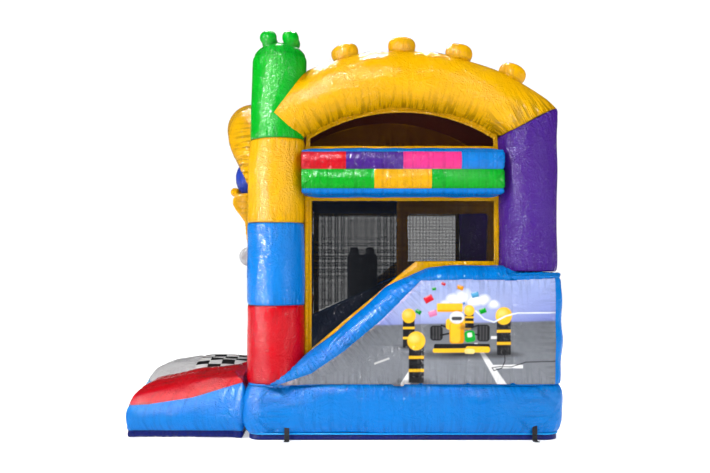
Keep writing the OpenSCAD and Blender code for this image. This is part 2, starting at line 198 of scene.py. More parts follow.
def folds(along, pitch, seed):
    """An uneven row of folds along a seam, from -1 to 1."""
    draw = np.random.default_rng(seed)
    total = 0
    for part, weight in ((0.37, 0.5), (1.0, 1.0), (1.63, 0.7), (2.9, 0.4)):
        shift = 2 * np.pi * draw.random(2)
        swing = 0.9 * np.sin(2 * np.pi * 0.23 * along / pitch + shift[1])
        total = total + weight * np.sin(2 * np.pi * part * along / pitch + shift[0] + swing)
    return np.clip(total / 1.5, -1, 1)


def ripple(co, size, seed):
    """A slow uneven swell over a skin, from about -1 to 1."""
    draw = np.random.default_rng(seed)
    total = np.zeros(len(co))
    for _ in range(9):
        way = draw.normal(size=3)
        way *= 2 * np.pi / (size * draw.uniform(0.7, 1.6)) / np.linalg.norm(way)
        total += np.sin(co @ way + draw.uniform(0, 2 * np.pi))
    return total / 3


def gather(
    piece, seams, seed, depth=0.008, width=0.016, fold=0.008, reach=0.15, pitch=0.075, swell=0.004,
    span=0.5, puff=0.0, roll=0.16
):
    """Swells a skin between its seams, pulls it in along each one and lets folds run out of it."""
    co, out = points_of(piece), points_of(piece, "normal")
    move = swell * ripple(co, span, seed)
    near = np.zeros(len(co))
    cloth = np.zeros((len(co), 3))
    closest = np.full(len(co), 9.0)
    for i, seam in enumerate(seams):
        away, along = seam(co)
        run = reach * (0.75 + 0.45 * folds(along, pitch * 3.1, seed + 50 + i))
        fall = np.exp(-np.power(away / run, 1.4)) * (1 - np.exp(-away / 0.02))
        move += fold * folds(along, pitch, seed + i) * fall
        move -= depth * np.exp(-np.square(away / width))
        near = np.maximum(near, np.exp(-away / 0.14))
        nearer = away < closest
        cloth[nearer, 0], cloth[nearer, 1] = along[nearer], away[nearer]
        closest = np.minimum(closest, away)
    move += puff * (1 - np.exp(-np.power(closest / roll, 1.3)))
    co = co + out * move[:, None]
    co[:, 2] = np.maximum(co[:, 2], 0.003)
    move_points(piece, co)
    piece.data.attributes.new("seam", "FLOAT", "POINT").data.foreach_set("value", near)
    piece.data.attributes.new(
        "cloth", "FLOAT_VECTOR", "POINT"
    ).data.foreach_set("vector", cloth.ravel())


def seam_at_height(z, turn=1.9):
    return lambda co: (np.abs(co[:, 2] - z), turn * np.arctan2(co[:, 1], co[:, 0]))


def smooth(piece):
    pick(piece)
    bpy.ops.object.shade_smooth()
    return piece


def noise(tree, where, scale, detail=2.0):
    step = tree.nodes.new("ShaderNodeTexNoise")
    step.inputs["Scale"].default_value = scale
    step.inputs["Detail"].default_value = detail
    tree.links.new(where, step.inputs["Vector"])
    return step


def stored(tree, name):
    """Reads an attribute that a mesh keeps for each point."""
    step = tree.nodes.new("ShaderNodeAttribute")
    step.attribute_name = name
    return step


def skin_group():
    """Crumpled vinyl: creases all over, folds across the seams, a fine woven core, uneven tone, a darker
    seam line and a painted shade in the valleys of the folds.
    """
    tree = bpy.data.node_groups.new("vinyl_skin", "ShaderNodeTree")
    for label, value in (("Crease Scale", 14.0), ("Fold Amount", 0.35)):
        socket = tree.interface.new_socket(label, in_out="INPUT", socket_type="NodeSocketFloat")
        socket.default_value = value
    for label in ("Height", "Tone", "Seam And Fold Shade"):
        tree.interface.new_socket(label, in_out="OUTPUT", socket_type="NodeSocketFloat")
    add, link = tree.nodes.new, tree.links.new
    given, out = add("NodeGroupInput"), add("NodeGroupOutput")
    place = add("ShaderNodeTexCoord").outputs["Object"]
    bend = add("ShaderNodeVectorMath")
    bend.operation = "MULTIPLY_ADD"
    bend.inputs[1].default_value = (0.35, 0.35, 0.35)
    link(noise(tree, place, 2.3, 3).outputs["Color"], bend.inputs[0])
    link(place, bend.inputs[2])
    stretch = add("ShaderNodeVectorMath")
    stretch.operation = "MULTIPLY"
    stretch.inputs[1].default_value = (26, 2.6, 1)
    link(stored(tree, "cloth").outputs["Vector"], stretch.inputs[0])
    gathers = noise(tree, stretch.outputs["Vector"], 1, 3).outputs["Fac"]
    seam = stored(tree, "seam").outputs["Fac"]
    fold_amount = given.outputs["Fold Amount"]

    height = computed(tree, "MULTIPLY", noise(tree, place, 240).outputs["Fac"], 0.002)
    for factor, ridge in ((0.35, 0.06), (1, 0.07), (2.4, 0.055), (4.6, 0.02)):
        cells = add("ShaderNodeTexVoronoi")
        cells.feature = "DISTANCE_TO_EDGE"
        link(bend.outputs["Vector"], cells.inputs["Vector"])
        link(computed(tree, "MULTIPLY", given.outputs["Crease Scale"], factor), cells.inputs["Scale"])
        crease = remapped(tree, cells.outputs["Distance"], ridge, 0.0, end=0.28, easing="SMOOTHERSTEP")
        height = computed(tree, "ADD", height, crease)
    fold = computed(tree, "MULTIPLY", computed(tree, "MULTIPLY", gathers, seam), fold_amount)
    link(computed(tree, "ADD", height, fold), out.inputs["Height"])
    link(noise(tree, place, 1.7, 4).outputs["Fac"], out.inputs["Tone"])

    # the seam's line is darker, and the valleys between the folds that run out of it get a painted shade
    valley = remapped(tree, gathers, 1.0, 0.0, 0.40, 0.52, "SMOOTHSTEP")
    shadow = computed(tree, "MULTIPLY", computed(tree, "MULTIPLY", valley, seam), fold_amount)
    line = computed(tree, "POWER", seam, 17)
    link(computed(tree, "MAXIMUM", line, computed(tree, "MINIMUM", shadow, 1.0)), out.inputs["Seam And Fold Shade"])
    return tree


VINYL_SKIN = skin_group()


def vinyl(name, colour, crease=14.0, bump=0.9, gloss=0.045, fold=0.6, zones=(), dye=None):
    """Glossy coated fabric whose fold valleys get a painted shade that grows with the fold amount. Each
    zone is an attribute and the colour it brings where it is positive.
    """
    paint = bpy.data.materials.new(name)
    paint.use_nodes = True
    tree = paint.node_tree
    add, link = tree.nodes.new, tree.links.new
    shader = tree.nodes["Principled BSDF"]
    skin = add("ShaderNodeGroup")
    skin.node_tree = VINYL_SKIN
    skin.inputs["Crease Scale"].default_value = crease
    skin.inputs["Fold Amount"].default_value = fold
    shade = add("ShaderNodeHueSaturation")
    shade.inputs["Color"].default_value = (*colour, 1)
    before = stored(tree, dye).outputs["Color"] if dye else None
    for part, other in zones:
        swap = add("ShaderNodeMix")
        swap.data_type = "RGBA"
        if before:
            link(before, swap.inputs["A"])
        else:
            swap.inputs["A"].default_value = (*colour, 1)
        swap.inputs["B"].default_value = (*other, 1)
        link(
            computed(tree, "GREATER_THAN", stored(tree, part).outputs["Fac"], 0.0),
            swap.inputs["Factor"]
        )
        before = swap.outputs["Result"]
    if before:
        link(before, shade.inputs["Color"])
    uneven = remapped(tree, skin.outputs["Tone"], 0.82, 1.14)
    # the colour is darker along the seam line, and darker again in the fold valleys as painted shade
    sewn = remapped(tree, skin.outputs["Seam And Fold Shade"], 1.0, 0.60)
    link(computed(tree, "MULTIPLY", uneven, sewn), shade.inputs["Value"])
    link(shade.outputs["Color"], shader.inputs["Base Color"])
    link(remapped(tree, skin.outputs["Tone"], gloss, gloss + 0.06), shader.inputs["Roughness"])
    relief = add("ShaderNodeBump")
    relief.inputs["Strength"].default_value = bump
    relief.inputs["Distance"].default_value = 0.03
    link(skin.outputs["Height"], relief.inputs["Height"])
    link(relief.outputs["Normal"], shader.inputs["Normal"])
    shader.inputs["Specular IOR Level"].default_value = 0.15
    return paint


def zone(piece, name, values):
    """Keeps a number for each point of a skin, which a vinyl's zone reads."""
    piece.data.attributes.new(name, "FLOAT", "POINT").data.foreach_set(
        "value", np.ascontiguousarray(values, float)
    )


def piping(name, path, radius):
    """A round cord sewn along a closed path."""
    cord = cut_panel(name, path)
    bpy.ops.object.mode_set(mode="EDIT")
    bpy.ops.mesh.select_all(action="SELECT")
    bpy.ops.mesh.delete(type="ONLY_FACE")
    bpy.ops.object.mode_set(mode="OBJECT")
    bpy.ops.object.convert(target="CURVE")
    cord = bpy.context.object
    cord.data.bevel_depth = radius
    cord.data.bevel_resolution = 2
    cord.data.use_fill_caps = True
    bpy.ops.object.convert(target="MESH")
    return smooth(bpy.context.object)


def join(first, *others):
    bpy.ops.object.select_all(action="DESELECT")
    for piece in (first, *others):
        piece.select_set(True)
    bpy.context.view_layer.objects.active = first
    bpy.ops.object.join()
    return first


def fit(piece, *nodes, body="castle", inflated=None):
    """Rides a finished piece on its body in place of its nodes."""
    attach(piece, body)
    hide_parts(*nodes)


NAVY, BLUE = (0.0, 0.005, 0.11), (0.0, 0.165, 0.56)
YELLOW, GREEN, RED = (0.69, 0.35, 0.0), (0.0, 0.33, 0.010), (0.50, 0.0, 0.006)
PURPLE, PINK = (0.05, 0.008, 0.20), (0.66, 0.03, 0.20)
navy_vinyl = vinyl("navy_vinyl", NAVY, gloss=0.35)
blue_vinyl = vinyl("blue_vinyl", BLUE)

ground_sheet = draw_out(
    cut_panel(
        "ground_sheet_cloth", rounded_outline(HALF_W - 0.035, HALF_L - 0.035, CORNER_R - 0.015, 0.0)
    ),
    (0, 0, STRIP_Z + 0.012), 4
)
gather(ground_sheet, [seam_at_height(STRIP_Z)], 11, depth=0.004, fold=0.004, reach=0.06, swell=0.002)
bpy.ops.object.mode_set(mode="EDIT")
bpy.ops.mesh.select_all(action="DESELECT")
bpy.ops.object.mode_set(mode="OBJECT")
ground_sheet.data.vertices.foreach_set("select", points_of(ground_sheet)[:, 2] > STRIP_Z + 0.003)
bpy.ops.object.mode_set(mode="EDIT")
bpy.ops.mesh.delete(type="ONLY_FACE")
bpy.ops.object.mode_set(mode="OBJECT")
sheet_cord = piping(
    "ground_sheet_piping", rounded_outline(HALF_W - 0.030, HALF_L - 0.030, CORNER_R - 0.01, STRIP_Z),
    0.009
)
bright_cord = vinyl("bright_blue_piping", (0.01, 0.30, 0.72), crease=30, bump=0.2)
ground_sheet.data.materials.append(navy_vinyl)
sheet_cord.data.materials.append(bright_cord)
fit(smooth(ground_sheet), "ground_sheet")
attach(sheet_cord, "castle")

# ---------------------------------------------------------------- mattress
# The blue wall of the floor mattress, one long strip sewn into a ring. It swells between its
# bottom and top seams, and upright seams stand where the corners begin.
def upright_seam(x, y):
    return lambda co: (np.hypot(co[:, 0] - x, co[:, 1] - y), co[:, 2])


side_band = draw_out(
    cut_panel("base_wall_air", rounded_outline(HALF_W, HALF_L, CORNER_R, STRIP_Z, 0.024)),
    (0, 0, FLOOR_Z - 0.004 - STRIP_Z), 20
)
co = points_of(side_band)
rise = np.clip((co[:, 2] - STRIP_Z) / (FLOOR_Z - STRIP_Z), 0, 1)
belly = 0.028 - 0.064 * np.clip((np.abs(rise - 0.5) - 0.15) / 0.35, 0, 1) ** 2.1
co[:, :2] += points_of(side_band, "normal")[:, :2] * belly[:, None]
move_points(side_band, co)
corner_seams = [upright_seam(sx * HALF_W, sy * 1.30) for sx in (-1, 1) for sy in (-1, 1)]
gather(
    side_band, [seam_at_height(STRIP_Z), seam_at_height(FLOOR_Z)] + corner_seams, 12, depth=0.008,
    fold=0.012, reach=0.13, pitch=0.085, swell=0.008, span=0.65
)
# the panel lies flat round the deflation zip
ZIP_X, ZIP_Y, ZIP_Z = 0.015, 1.598, 0.30
co = points_of(side_band)
by_zip = np.clip(
    (0.60 - np.abs(co[:, 0] - ZIP_X)) / 0.15, 0, 1
) * np.clip((0.11 - np.abs(co[:, 2] - ZIP_Z)) / 0.04, 0, 1)
co[:, 1] -= by_zip * np.clip(co[:, 1] - ZIP_Y, 0, 0.1)
move_points(side_band, co)
side_band.data.materials.append(blue_vinyl)
fit(smooth(side_band), "base_side_band", inflated=1.0)

# ---------------------------------------------------------------- jump floor
# The top of the mattress. On the jump side its inner webs draw it into soft rows that run
# front to back; under the slide lane it is flat.
jump_floor = draw_out(
    cut_panel(
        "jump_floor_top",
        rounded_outline(HALF_W - 0.028, HALF_L - 0.028, CORNER_R - 0.01, FLOOR_Z - 0.012)
    ),
    (0, 0, 0.012), 1
)
bpy.ops.object.select_all(action="DESELECT")
bpy.ops.mesh.primitive_grid_add(x_subdivisions=72, y_subdivisions=116, size=1)
rows = bpy.context.object
co = points_of(rows)
co = np.stack([-0.72 + 1.44 * co[:, 0], -0.15 + 2.88 * co[:, 1], co[:, 2]], 1)
across = np.mod(co[:, 0] + 1.44, 0.36) / 0.36
ends = np.clip(np.minimum(co[:, 1] + 1.59, 1.29 - co[:, 1]) / 0.12, 0, 1)
co[:, 2] = FLOOR_Z + 0.002 + 0.045 * np.sqrt(np.clip(4 * across * (1 - across), 0, 1)) * np.sqrt(ends)
move_points(rows, co)
row_seams = [
    lambda co, x=x: (np.abs(co[:, 0] - x), co[:, 1]) for x in (-1.44, -1.08, -0.72, -0.36, 0.0)
]
gather(rows, row_seams, 13, depth=0.004, fold=0.005, reach=0.12, pitch=0.09, swell=0.002)
jump_floor = join(rows, jump_floor)
jump_floor.name = "jump_floor_air"
jump_floor.data.materials.append(blue_vinyl)
fit(smooth(jump_floor), "jump_floor", inflated=1.0)

# ---------------------------------------------------------------- floor webs
# Pale webs of bare fabric inside the mattress hold its top flat. Round holes let the air pass.
web_cloth = vinyl("bare_web_cloth", (0.62, 0.64, 0.66), gloss=0.6)
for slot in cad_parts["floor_baffles"].material_slots:
    slot.material = web_cloth

# ---------------------------------------------------------------- side walls
# Blue air chambers with a fat rounded crest that climbs beside the slide and runs level along
# the platform to a round corner column. The lane's wall and the far wall are a mirrored pair.
CREST = (
    (1.300, 1.545), (0.954, 1.600), (0.296, 1.564), (-0.087, 1.386), (-0.565, 0.944), (-0.847, 0.741),
    (-1.06, 0.575), (-1.26, 0.465)
)


def apply(piece, kind, **settings):
    """Adds one modifier and applies it."""
    pick(piece)
    made = piece.modifiers.new(kind.lower(), kind)
    for key, value in settings.items():
        setattr(made, key, value)
    bpy.ops.object.modifier_apply(modifier=made.name)
    return piece


def tube_between(a, b, radius, sides=32):
    way = Vector(b) - Vector(a)
    bpy.ops.object.select_all(action="DESELECT")
    bpy.ops.mesh.primitive_cylinder_add(vertices=sides, radius=radius, depth=way.length)
    tube = bpy.context.object
    tube.data.transform(
        Matrix.Translation((Vector(a) + Vector(b)) / 2)
        @ way.to_track_quat("Z", "Y").to_matrix().to_4x4()
    )
    return tube


def ball(centre, radius):
    bpy.ops.object.select_all(action="DESELECT")
    bpy.ops.mesh.primitive_uv_sphere_add(radius=radius, segments=32, ring_count=20)
    made = bpy.context.object
    made.data.transform(Matrix.Translation(centre))
    return made


def melt(piece, voxel, passes):
    """Makes overlapping shapes one even skin and rounds its edges."""
    apply(piece, "REMESH", mode="VOXEL", voxel_size=voxel)
    return apply(piece, "SMOOTH", factor=0.5, iterations=passes)


def seam_on_path(path, offset=0.0):
    """A seam beside a path in Y and Z, this far from it."""
    def measure(co):
        best = np.full(len(co), 9.0)
        place = np.zeros(len(co))
        run = 0.0
        for (ay, az), (by, bz) in zip(path, path[1:]):
            size = math.hypot(by - ay, bz - az)
            t = np.clip(((co[:, 1] - ay) * (by - ay) + (co[:, 2] - az) * (bz - az)) / size**2, 0, 1)
            gap = np.hypot(co[:, 1] - ay - t * (by - ay), co[:, 2] - az - t * (bz - az))
            nearer = gap < best
            best[nearer] = gap[nearer]
            place[nearer] = run + t[nearer] * size
            run += size
        return np.abs(best - offset), place
    return measure


def mirrored(piece, name):
    """A copy of a piece for the other side."""
    pick(piece)
    bpy.ops.object.duplicate(linked=False)
    twin = bpy.context.object
    twin.name = twin.data.name = name
    twin.data.transform(Matrix.Scale(-1, 4, (1, 0, 0)))
    bpy.ops.object.mode_set(mode="EDIT")
    bpy.ops.mesh.select_all(action="SELECT")
    bpy.ops.mesh.flip_normals()
    bpy.ops.object.mode_set(mode="OBJECT")
    return twin


def on_face(seam, test):
    """The same seam, but only where the test on the points holds."""
    def measure(co):
        away, along = seam(co)
        return np.where(test(co), away, 9.0), along
    return measure


slab = draw_out(
    cut_panel(
        "side_wall_right_air",
        [(1.452, y, z) for y, z in CREST] + [(1.452, -1.26, 0.44), (1.452, 1.30, 0.44)]
    ),
    (0.283, 0, 0), 1
)
parts = [tube_between((1.5945, *a), (1.5945, *b), 0.15) for a, b in zip(CREST, CREST[1:])]
parts += [ball((1.5945, *p), 0.15) for p in CREST[1:]]
corner = draw_out(cut_panel("corner", rounded_outline(0.2885, 0.293, 0.13, 0.55)), (0, 0, 1.14), 1)
corner.data.transform(Matrix.Translation((1.4515, 1.30, 0)))
wall = melt(join(slab, corner, *parts), 0.02, 7)
co = points_of(wall)
co[:, 2] = np.maximum(co[:, 2], 0.553)
co[:, 0] += 0.07 * np.clip((-0.86 - co[:, 1]) / 0.34, 0, 1) * np.clip((co[:, 0] - 1.55) / 0.12, 0, 1)
move_points(wall, co)
CREST_SEAM = (
    (-1.282, 0.566), (-0.926, 0.683), (-0.605, 0.900), (-0.240, 1.205), (0.172, 1.610), (0.62, 1.625),
    (1.10, 1.615), (1.60, 1.635)
)
wall_seams = [on_face(seam_at_height(0.553, 2.2), lambda co: co[:, 2] < 0.9)]
wall_seams.append(on_face(seam_on_path(CREST_SEAM), lambda co: co[:, 0] > 1.6))
wall_seams += [
    on_face(
        lambda co, y=y: (np.abs(co[:, 1] - y), co[:, 2]),
        lambda co: (co[:, 0] > 1.6) & (co[:, 2] < 1.62)
    )
    for y in (0.17, 0.64, 1.09)
]
wall_seams.append(
    on_face(
        seam_on_path(((-0.60, 0.975), (-0.25, 0.945), (0.16, 0.965))),
        lambda co: (co[:, 0] > 1.6) & (co[:, 1] > -0.6) & (co[:, 1] < 0.17)
    )
)
wall_seams.append(
    on_face(
        lambda co: (np.abs(co[:, 2] - 1.69), 0.3 * np.arctan2(co[:, 1] - 1.3, co[:, 0] - 1.455)),
        lambda co: co[:, 1] > 1.04
    )
)
gather(
    wall, wall_seams, 21, depth=0.009, width=0.014, fold=0.009, reach=0.12, pitch=0.07, swell=0.006,
    span=0.4, puff=0.022, roll=0.12
)
wall.data.materials.append(blue_vinyl)
smooth(wall)
far_wall = mirrored(wall, "side_wall_left_air")
fit(wall, "side_wall_right", inflated=1.0)
fit(far_wall, "side_wall_left", inflated=1.0)

# ---------------------------------------------------------------- print panels
# Printed sheets sewn flat on the walls: a road under a pale sky, a plain toy kart among banded
# marker posts with round lamps, and coloured blocks tumbling down. They follow the wall's swell.
PANEL_EDGE = (
    (-1.282, 0.566), (-0.926, 0.683), (-0.605, 0.900), (-0.240, 1.205), (0.172, 1.610), (0.62, 1.622),
    (1.10, 1.612), (1.527, 1.635), (1.527, 0.560), (-1.282, 0.560)
)


def inside(y, z, edge):
    hit = np.zeros(len(y), bool)
    for (ay, az), (by, bz) in zip(edge, edge[1:] + edge[:1]):
        if az != bz:
            crossing = (az > z) != (bz > z)
            hit ^= crossing & (y < (by - ay) * (z - az) / (bz - az) + ay)
    return hit


def paint_road(y, z):
    """The printed picture, as a colour for each point of the sheet."""
    flat = np.stack([y, z, np.zeros(len(y))], 1)
    horizon = 1.165 + 0.025 * y
    up = np.clip((z - horizon) / 0.42, 0, 1)[:, None]
    ink = (1 - up) * np.array([0.16, 0.20, 0.56]) + up * np.array([0.34, 0.42, 0.74])
    haze = np.exp(-np.square((y - 0.45) / 0.75) - np.square((z - 1.30) / 0.20))[:, None]
    ink = ink * (1 - 0.45 * haze) + 0.45 * haze * np.array([0.72, 0.78, 0.95])
    puffs = np.full(len(y), -1.0)
    for cy, cz, size in (
        (0.42, 1.36, 0.07), (0.50, 1.42, 0.09), (0.60, 1.45, 0.11), (0.70, 1.40, 0.09),
        (0.80, 1.42, 0.08), (0.90, 1.36, 0.07)
    ):
        puffs = np.maximum(puffs, 1 - np.hypot(y - cy, (z - cz) * 1.25) / size)
    cloud = np.clip(
        (puffs + 0.12 * ripple(flat, 0.10, 4)) * 1.8, 0, 0.92
    ) * np.clip((z - 1.27) / 0.10, 0, 1)
    ink = ink * (1 - cloud[:, None]) + cloud[:, None] * np.array([0.92, 0.94, 0.99])
    tarmac = 0.155 + 0.085 * np.clip((horizon - z) / 0.6, 0, 1) + 0.006 * ripple(flat, 0.05, 8)
    tarmac = tarmac + 0.05 * np.exp(-np.square((y - 0.35) / 0.5) - np.square((z - 0.80) / 0.2))
    low = (1 / (1 + np.exp(np.clip((z - horizon) * 300, -50, 50))))[:, None]
    ink = ink * (1 - low) + tarmac[:, None] * np.array([0.94, 1.0, 1.12]) * low

    def lay(edge, colour, soft=0.004):
        nonlocal ink
        cover = np.clip(0.5 - edge / soft / 2, 0, 1)[:, None]
        ink = ink * (1 - cover) + np.array(colour) * cover

    def bar(cy, cz, wide, tall, turn=0.0, round_by=0.0):
        c, s = math.cos(turn), math.sin(turn)
        u, v = np.abs((y - cy) * c + (z - cz) * s), np.abs(-(y - cy) * s + (z - cz) * c)
        u, v = u - wide / 2 + round_by, v - tall / 2 + round_by
        return np.hypot(np.maximum(u, 0), np.maximum(v, 0)) + np.minimum(np.maximum(u, v), 0) - round_by

    def disc(cy, cz, wide, tall):
        return (np.hypot((y - cy) / wide, (z - cz) / tall) - 1) * min(wide, tall)

    def stripe(bottom, top, wide):
        t = np.clip((z - bottom[1]) / (top[1] - bottom[1]), 0, 1)
        middle = bottom[0] + (top[0] - bottom[0]) * t
        return np.maximum(
            np.abs(y - middle) - (wide[0] + (wide[1] - wide[0]) * t) / 2,
            np.maximum(bottom[1] - z, z - top[1])
        )

    def line(points, wide):
        best = np.full(len(y), 9.0)
        for (ay, az), (by, bz) in zip(points, points[1:]):
            t = np.clip(
                ((y - ay) * (by - ay) + (z - az) * (bz - az)) / ((by - ay) ** 2 + (bz - az) ** 2), 0, 1
            )
            best = np.minimum(best, np.hypot(y - ay - t * (by - ay), z - az - t * (bz - az)))
        return best - wide / 2

    white, black = (0.90, 0.90, 0.90), (0.010, 0.010, 0.012)
    gold, amber = (1.0, 0.56, 0.02), (0.80, 0.33, 0.0)
    lay(stripe((0.00, 0.54), (0.19, 0.90), (0.105, 0.03)), white)
    lay(stripe((1.00, 0.54), (0.72, 0.98), (0.100, 0.03)), white)
    lay(bar(1.04, 0.745, 0.30, 0.035), white)
    lay(bar(0.95, 1.035, 0.16, 0.028), white)
    lay(bar(-0.22, 0.80, 0.16, 0.018, turn=0.35), (0.6, 0.6, 0.6))
    # the blocks that tumble out of the sky, each with its lit face
    for by, bz, size, turn, colour in (
            (
                0.248, 1.420, 0.090, 0.5, (0.80, 0.01, 0.03)
            ), (
                0.398, 1.570, 0.040, -0.4, (0.75, 0.0, 0.01)
            ), (0.303, 1.520, 0.040, 0.1, (0.0, 0.35, 0.02)),
            (
                0.565, 1.534, 0.062, -0.35, (0.85, 0.33, 0.0)
            ), (
                0.712, 1.462, 0.072, 0.25, (0.10, 0.42, 0.72)
            ), (0.790, 1.300, 0.068, 0.35, (0.0, 0.42, 0.02)),
            (
                0.148, 1.290, 0.060, -0.5, (0.0, 0.35, 0.03)
            ), (
                0.290, 1.274, 0.080, 0.3, (0.90, 0.25, 0.50)
            ), (0.598, 1.374, 0.030, 0.6, (0.05, 0.25, 0.75))):
        lay(bar(by, bz, size, size * 0.72, turn, 0.008), tuple(c * 0.72 for c in colour))
        lay(bar(by - 0.006, bz + size * 0.13, size * 0.86, size * 0.36, turn, 0.006), colour, 0.006)
        lay(
            bar(by - 0.01, bz + size * 0.30, size * 0.55, size * 0.07, turn),
            tuple(0.5 + 0.5 * c for c in colour), 0.008
        )
    # the toy kart, seen from in front, with its shade under it
    cy = 0.56
    lay(disc(cy + 0.02, 0.865, 0.36, 0.035), (0.03, 0.03, 0.034), 0.03)
    lay(bar(cy - 0.10, 1.335, 0.26, 0.085, 0.0, 0.01), gold)
    lay(bar(cy - 0.10, 1.30, 0.24, 0.02), amber)
    for side, tall in ((-1, 0.15), (1, 0.17)):
        lay(bar(cy + side * 0.235, 1.08, 0.125, tall, 0.0, 0.035), (0.016, 0.016, 0.018))
        for k in (-0.03, 0.0, 0.03):
            lay(bar(cy + side * 0.235 + k, 1.08, 0.012, tall - 0.03), (0.075, 0.075, 0.08), 0.008)
        lay(bar(cy + side * 0.13, 1.14, 0.13, 0.018, side * 0.3), black)
        lay(bar(cy + side * 0.14, 1.07, 0.12, 0.016, side * -0.2), black)
    lay(bar(cy - 0.01, 1.17, 0.26, 0.11, 0.0, 0.03), gold)
    lay(bar(cy - 0.03, 1.08, 0.15, 0.21, 0.0, 0.03), amber)
    lay(bar(cy - 0.045, 1.085, 0.10, 0.20, 0.0, 0.03), gold)
    lay(disc(cy - 0.03, 1.235, 0.075, 0.062), (0.80, 0.80, 0.82))
    lay(bar(cy - 0.03, 1.225, 0.105, 0.035, 0.0, 0.015), (0.05, 0.05, 0.06))
    lay(bar(cy + 0.02, 0.94, 0.56, 0.065, 0.0, 0.02), black)
    lay(bar(cy - 0.10, 0.905, 0.34, 0.042, 0.0, 0.015), gold)
    lay(bar(cy + 0.18, 0.915, 0.24, 0.06, 0.0, 0.025), gold)
    lay(bar(cy + 0.10, 0.895, 0.10, 0.05, 0.0, 0.02), (1.0, 0.75, 0.25))
    lay(bar(cy + 0.10, 1.045, 0.105, 0.115, 0.15, 0.03), (0.0, 0.40, 0.03))
    lay(bar(cy + 0.10, 1.060, 0.045, 0.045, 0.15, 0.012), (0.75, 0.9, 0.75))
    # banded marker posts with round lamps stand round it
    for by, top, bottom, wide in (
        (0.655, 1.36, 1.13, 0.105), (0.050, 1.325, 0.93, 0.14), (1.000, 1.34, 0.86, 0.17),
        (0.125, 1.095, 0.58, 0.18)
    ):
        dome = wide * 0.52
        lay(disc(by, bottom + 0.005, wide * 0.62, 0.018), (0.04, 0.04, 0.045), 0.02)
        lay(bar(by, (top + bottom - dome) / 2, wide * 0.84, top - bottom - dome, 0.0, 0.012), black)
        for k in (0.32, 0.72):
            lay(bar(by, bottom + k * (top - bottom - 2 * dome) + 0.02, wide * 0.84, wide * 0.16), gold)
        lay(disc(by, top - dome, wide * 0.50, dome), gold)
        lay(
            disc(by - wide * 0.12, top - dome * 0.72, wide * 0.26, dome * 0.42), (1.0, 0.72, 0.16), 0.02
        )
    # two air hoses on the ground and over the wall
    lay(
        line(
            ((0.72, 1.30), (0.80, 1.22), (0.90, 1.19), (1.02, 1.25), (1.14, 1.28), (1.56, 1.285)), 0.014
        ),
        (0.80, 0.84, 0.95)
    )
    lay(
        line(
            (
                (1.00, 0.90), (1.01, 0.80), (0.98, 0.73), (0.90, 0.705), (0.88, 0.735), (0.96, 0.745),
                (1.08, 0.74), (1.22, 0.79), (1.56, 0.80)
            ),
            0.009
        ),
        black
    )
    return ink * 0.86


def print_sheet(name, wall_piece):
    bpy.ops.object.select_all(action="DESELECT")
    bpy.ops.mesh.primitive_grid_add(x_subdivisions=420, y_subdivisions=165, size=1)
    sheet = bpy.context.object
    sheet.name = sheet.data.name = name
    co = points_of(sheet)
    co = np.stack([np.full(len(co), 1.90), 0.1225 + 2.81 * co[:, 0], 1.098 + 1.084 * co[:, 1]], 1)
    move_points(sheet, co)
    keep = inside(co[:, 1], co[:, 2], PANEL_EDGE)
    bpy.ops.object.mode_set(mode="EDIT")
    bpy.ops.mesh.select_mode(type="VERT")
    bpy.ops.mesh.select_all(action="DESELECT")
    bpy.ops.object.mode_set(mode="OBJECT")
    sheet.data.vertices.foreach_set("select", ~keep)
    bpy.ops.object.mode_set(mode="EDIT")
    bpy.ops.mesh.delete(type="VERT")
    bpy.ops.object.mode_set(mode="OBJECT")
    apply(
        sheet, "SHRINKWRAP", target=wall_piece, wrap_method="PROJECT", use_project_x=True,
        use_project_y=False, use_project_z=False, use_negative_direction=True,
        use_positive_direction=False, offset=0.004
    )
    apply(sheet, "SMOOTH", factor=0.5, iterations=6)
    return sheet


printed = print_sheet("print_panel_right_cloth", wall)
co = points_of(printed)
co[:, 0] += 0.0025
move_points(printed, co)
ink = paint_road(co[:, 1], co[:, 2])
tint = printed.data.color_attributes.new("ink", "FLOAT_COLOR", "POINT")
tint.data.foreach_set("color", np.concatenate([ink, np.ones((len(ink), 1))], 1).ravel())
gather(
    printed, [seam_on_path(PANEL_EDGE)], 31, depth=0.003, width=0.010, fold=0.003, reach=0.09,
    pitch=0.05, swell=0.0
)
printed_vinyl = vinyl("printed_vinyl", (0.5, 0.5, 0.5), bump=0.8, gloss=0.10, dye="ink")
printed.data.materials.append(printed_vinyl)
smooth(printed)
far_print = mirrored(printed, "print_panel_left_cloth")
for sheet, node in ((printed, "print_panel_right"), (far_print, "print_panel_left")):
    fit(sheet, node)

# ---------------------------------------------------------------- rear wall
# A blue air chamber between the two rear corner columns, with a round crest.
slab = draw_out(
    cut_panel(
        "rear_wall_air",
        [(-1.15, 1.31, 0.55), (1.15, 1.31, 0.55), (1.15, 1.31, 1.545), (-1.15, 1.31, 1.545)]
    ),
    (0, 0.28, 0), 1
)
rear_wall = melt(join(slab, tube_between((-1.15, 1.45, 1.545), (1.15, 1.45, 1.545), 0.146)), 0.024, 6)
gather(
    rear_wall,
    [seam_at_height(0.56, 1.5), lambda co: (np.abs(co[:, 2] - 1.50), co[:, 0])] + [
        lambda co, x=x: (np.abs(co[:, 0] - x), co[:, 2]) for x in (-0.55, 0.0, 0.55)
    ],
    22, depth=0.010, swell=0.006
)
rear_wall.data.materials.append(blue_vinyl)
fit(smooth(rear_wall), "rear_wall", inflated=1.0)

# ---------------------------------------------------------------- front towers
# Two tall air columns, each sewn from four rings of coloured vinyl under a domed green top.
# Every ring swells a little and puckers at the seams above and below it.
TOWER_X, TOWER_Y, TOWER_R = 1.455, -1.30, 0.295
yellow_vinyl = vinyl("yellow_vinyl", YELLOW)
green_vinyl = vinyl("green_vinyl", GREEN)
red_vinyl = vinyl("red_vinyl", RED)


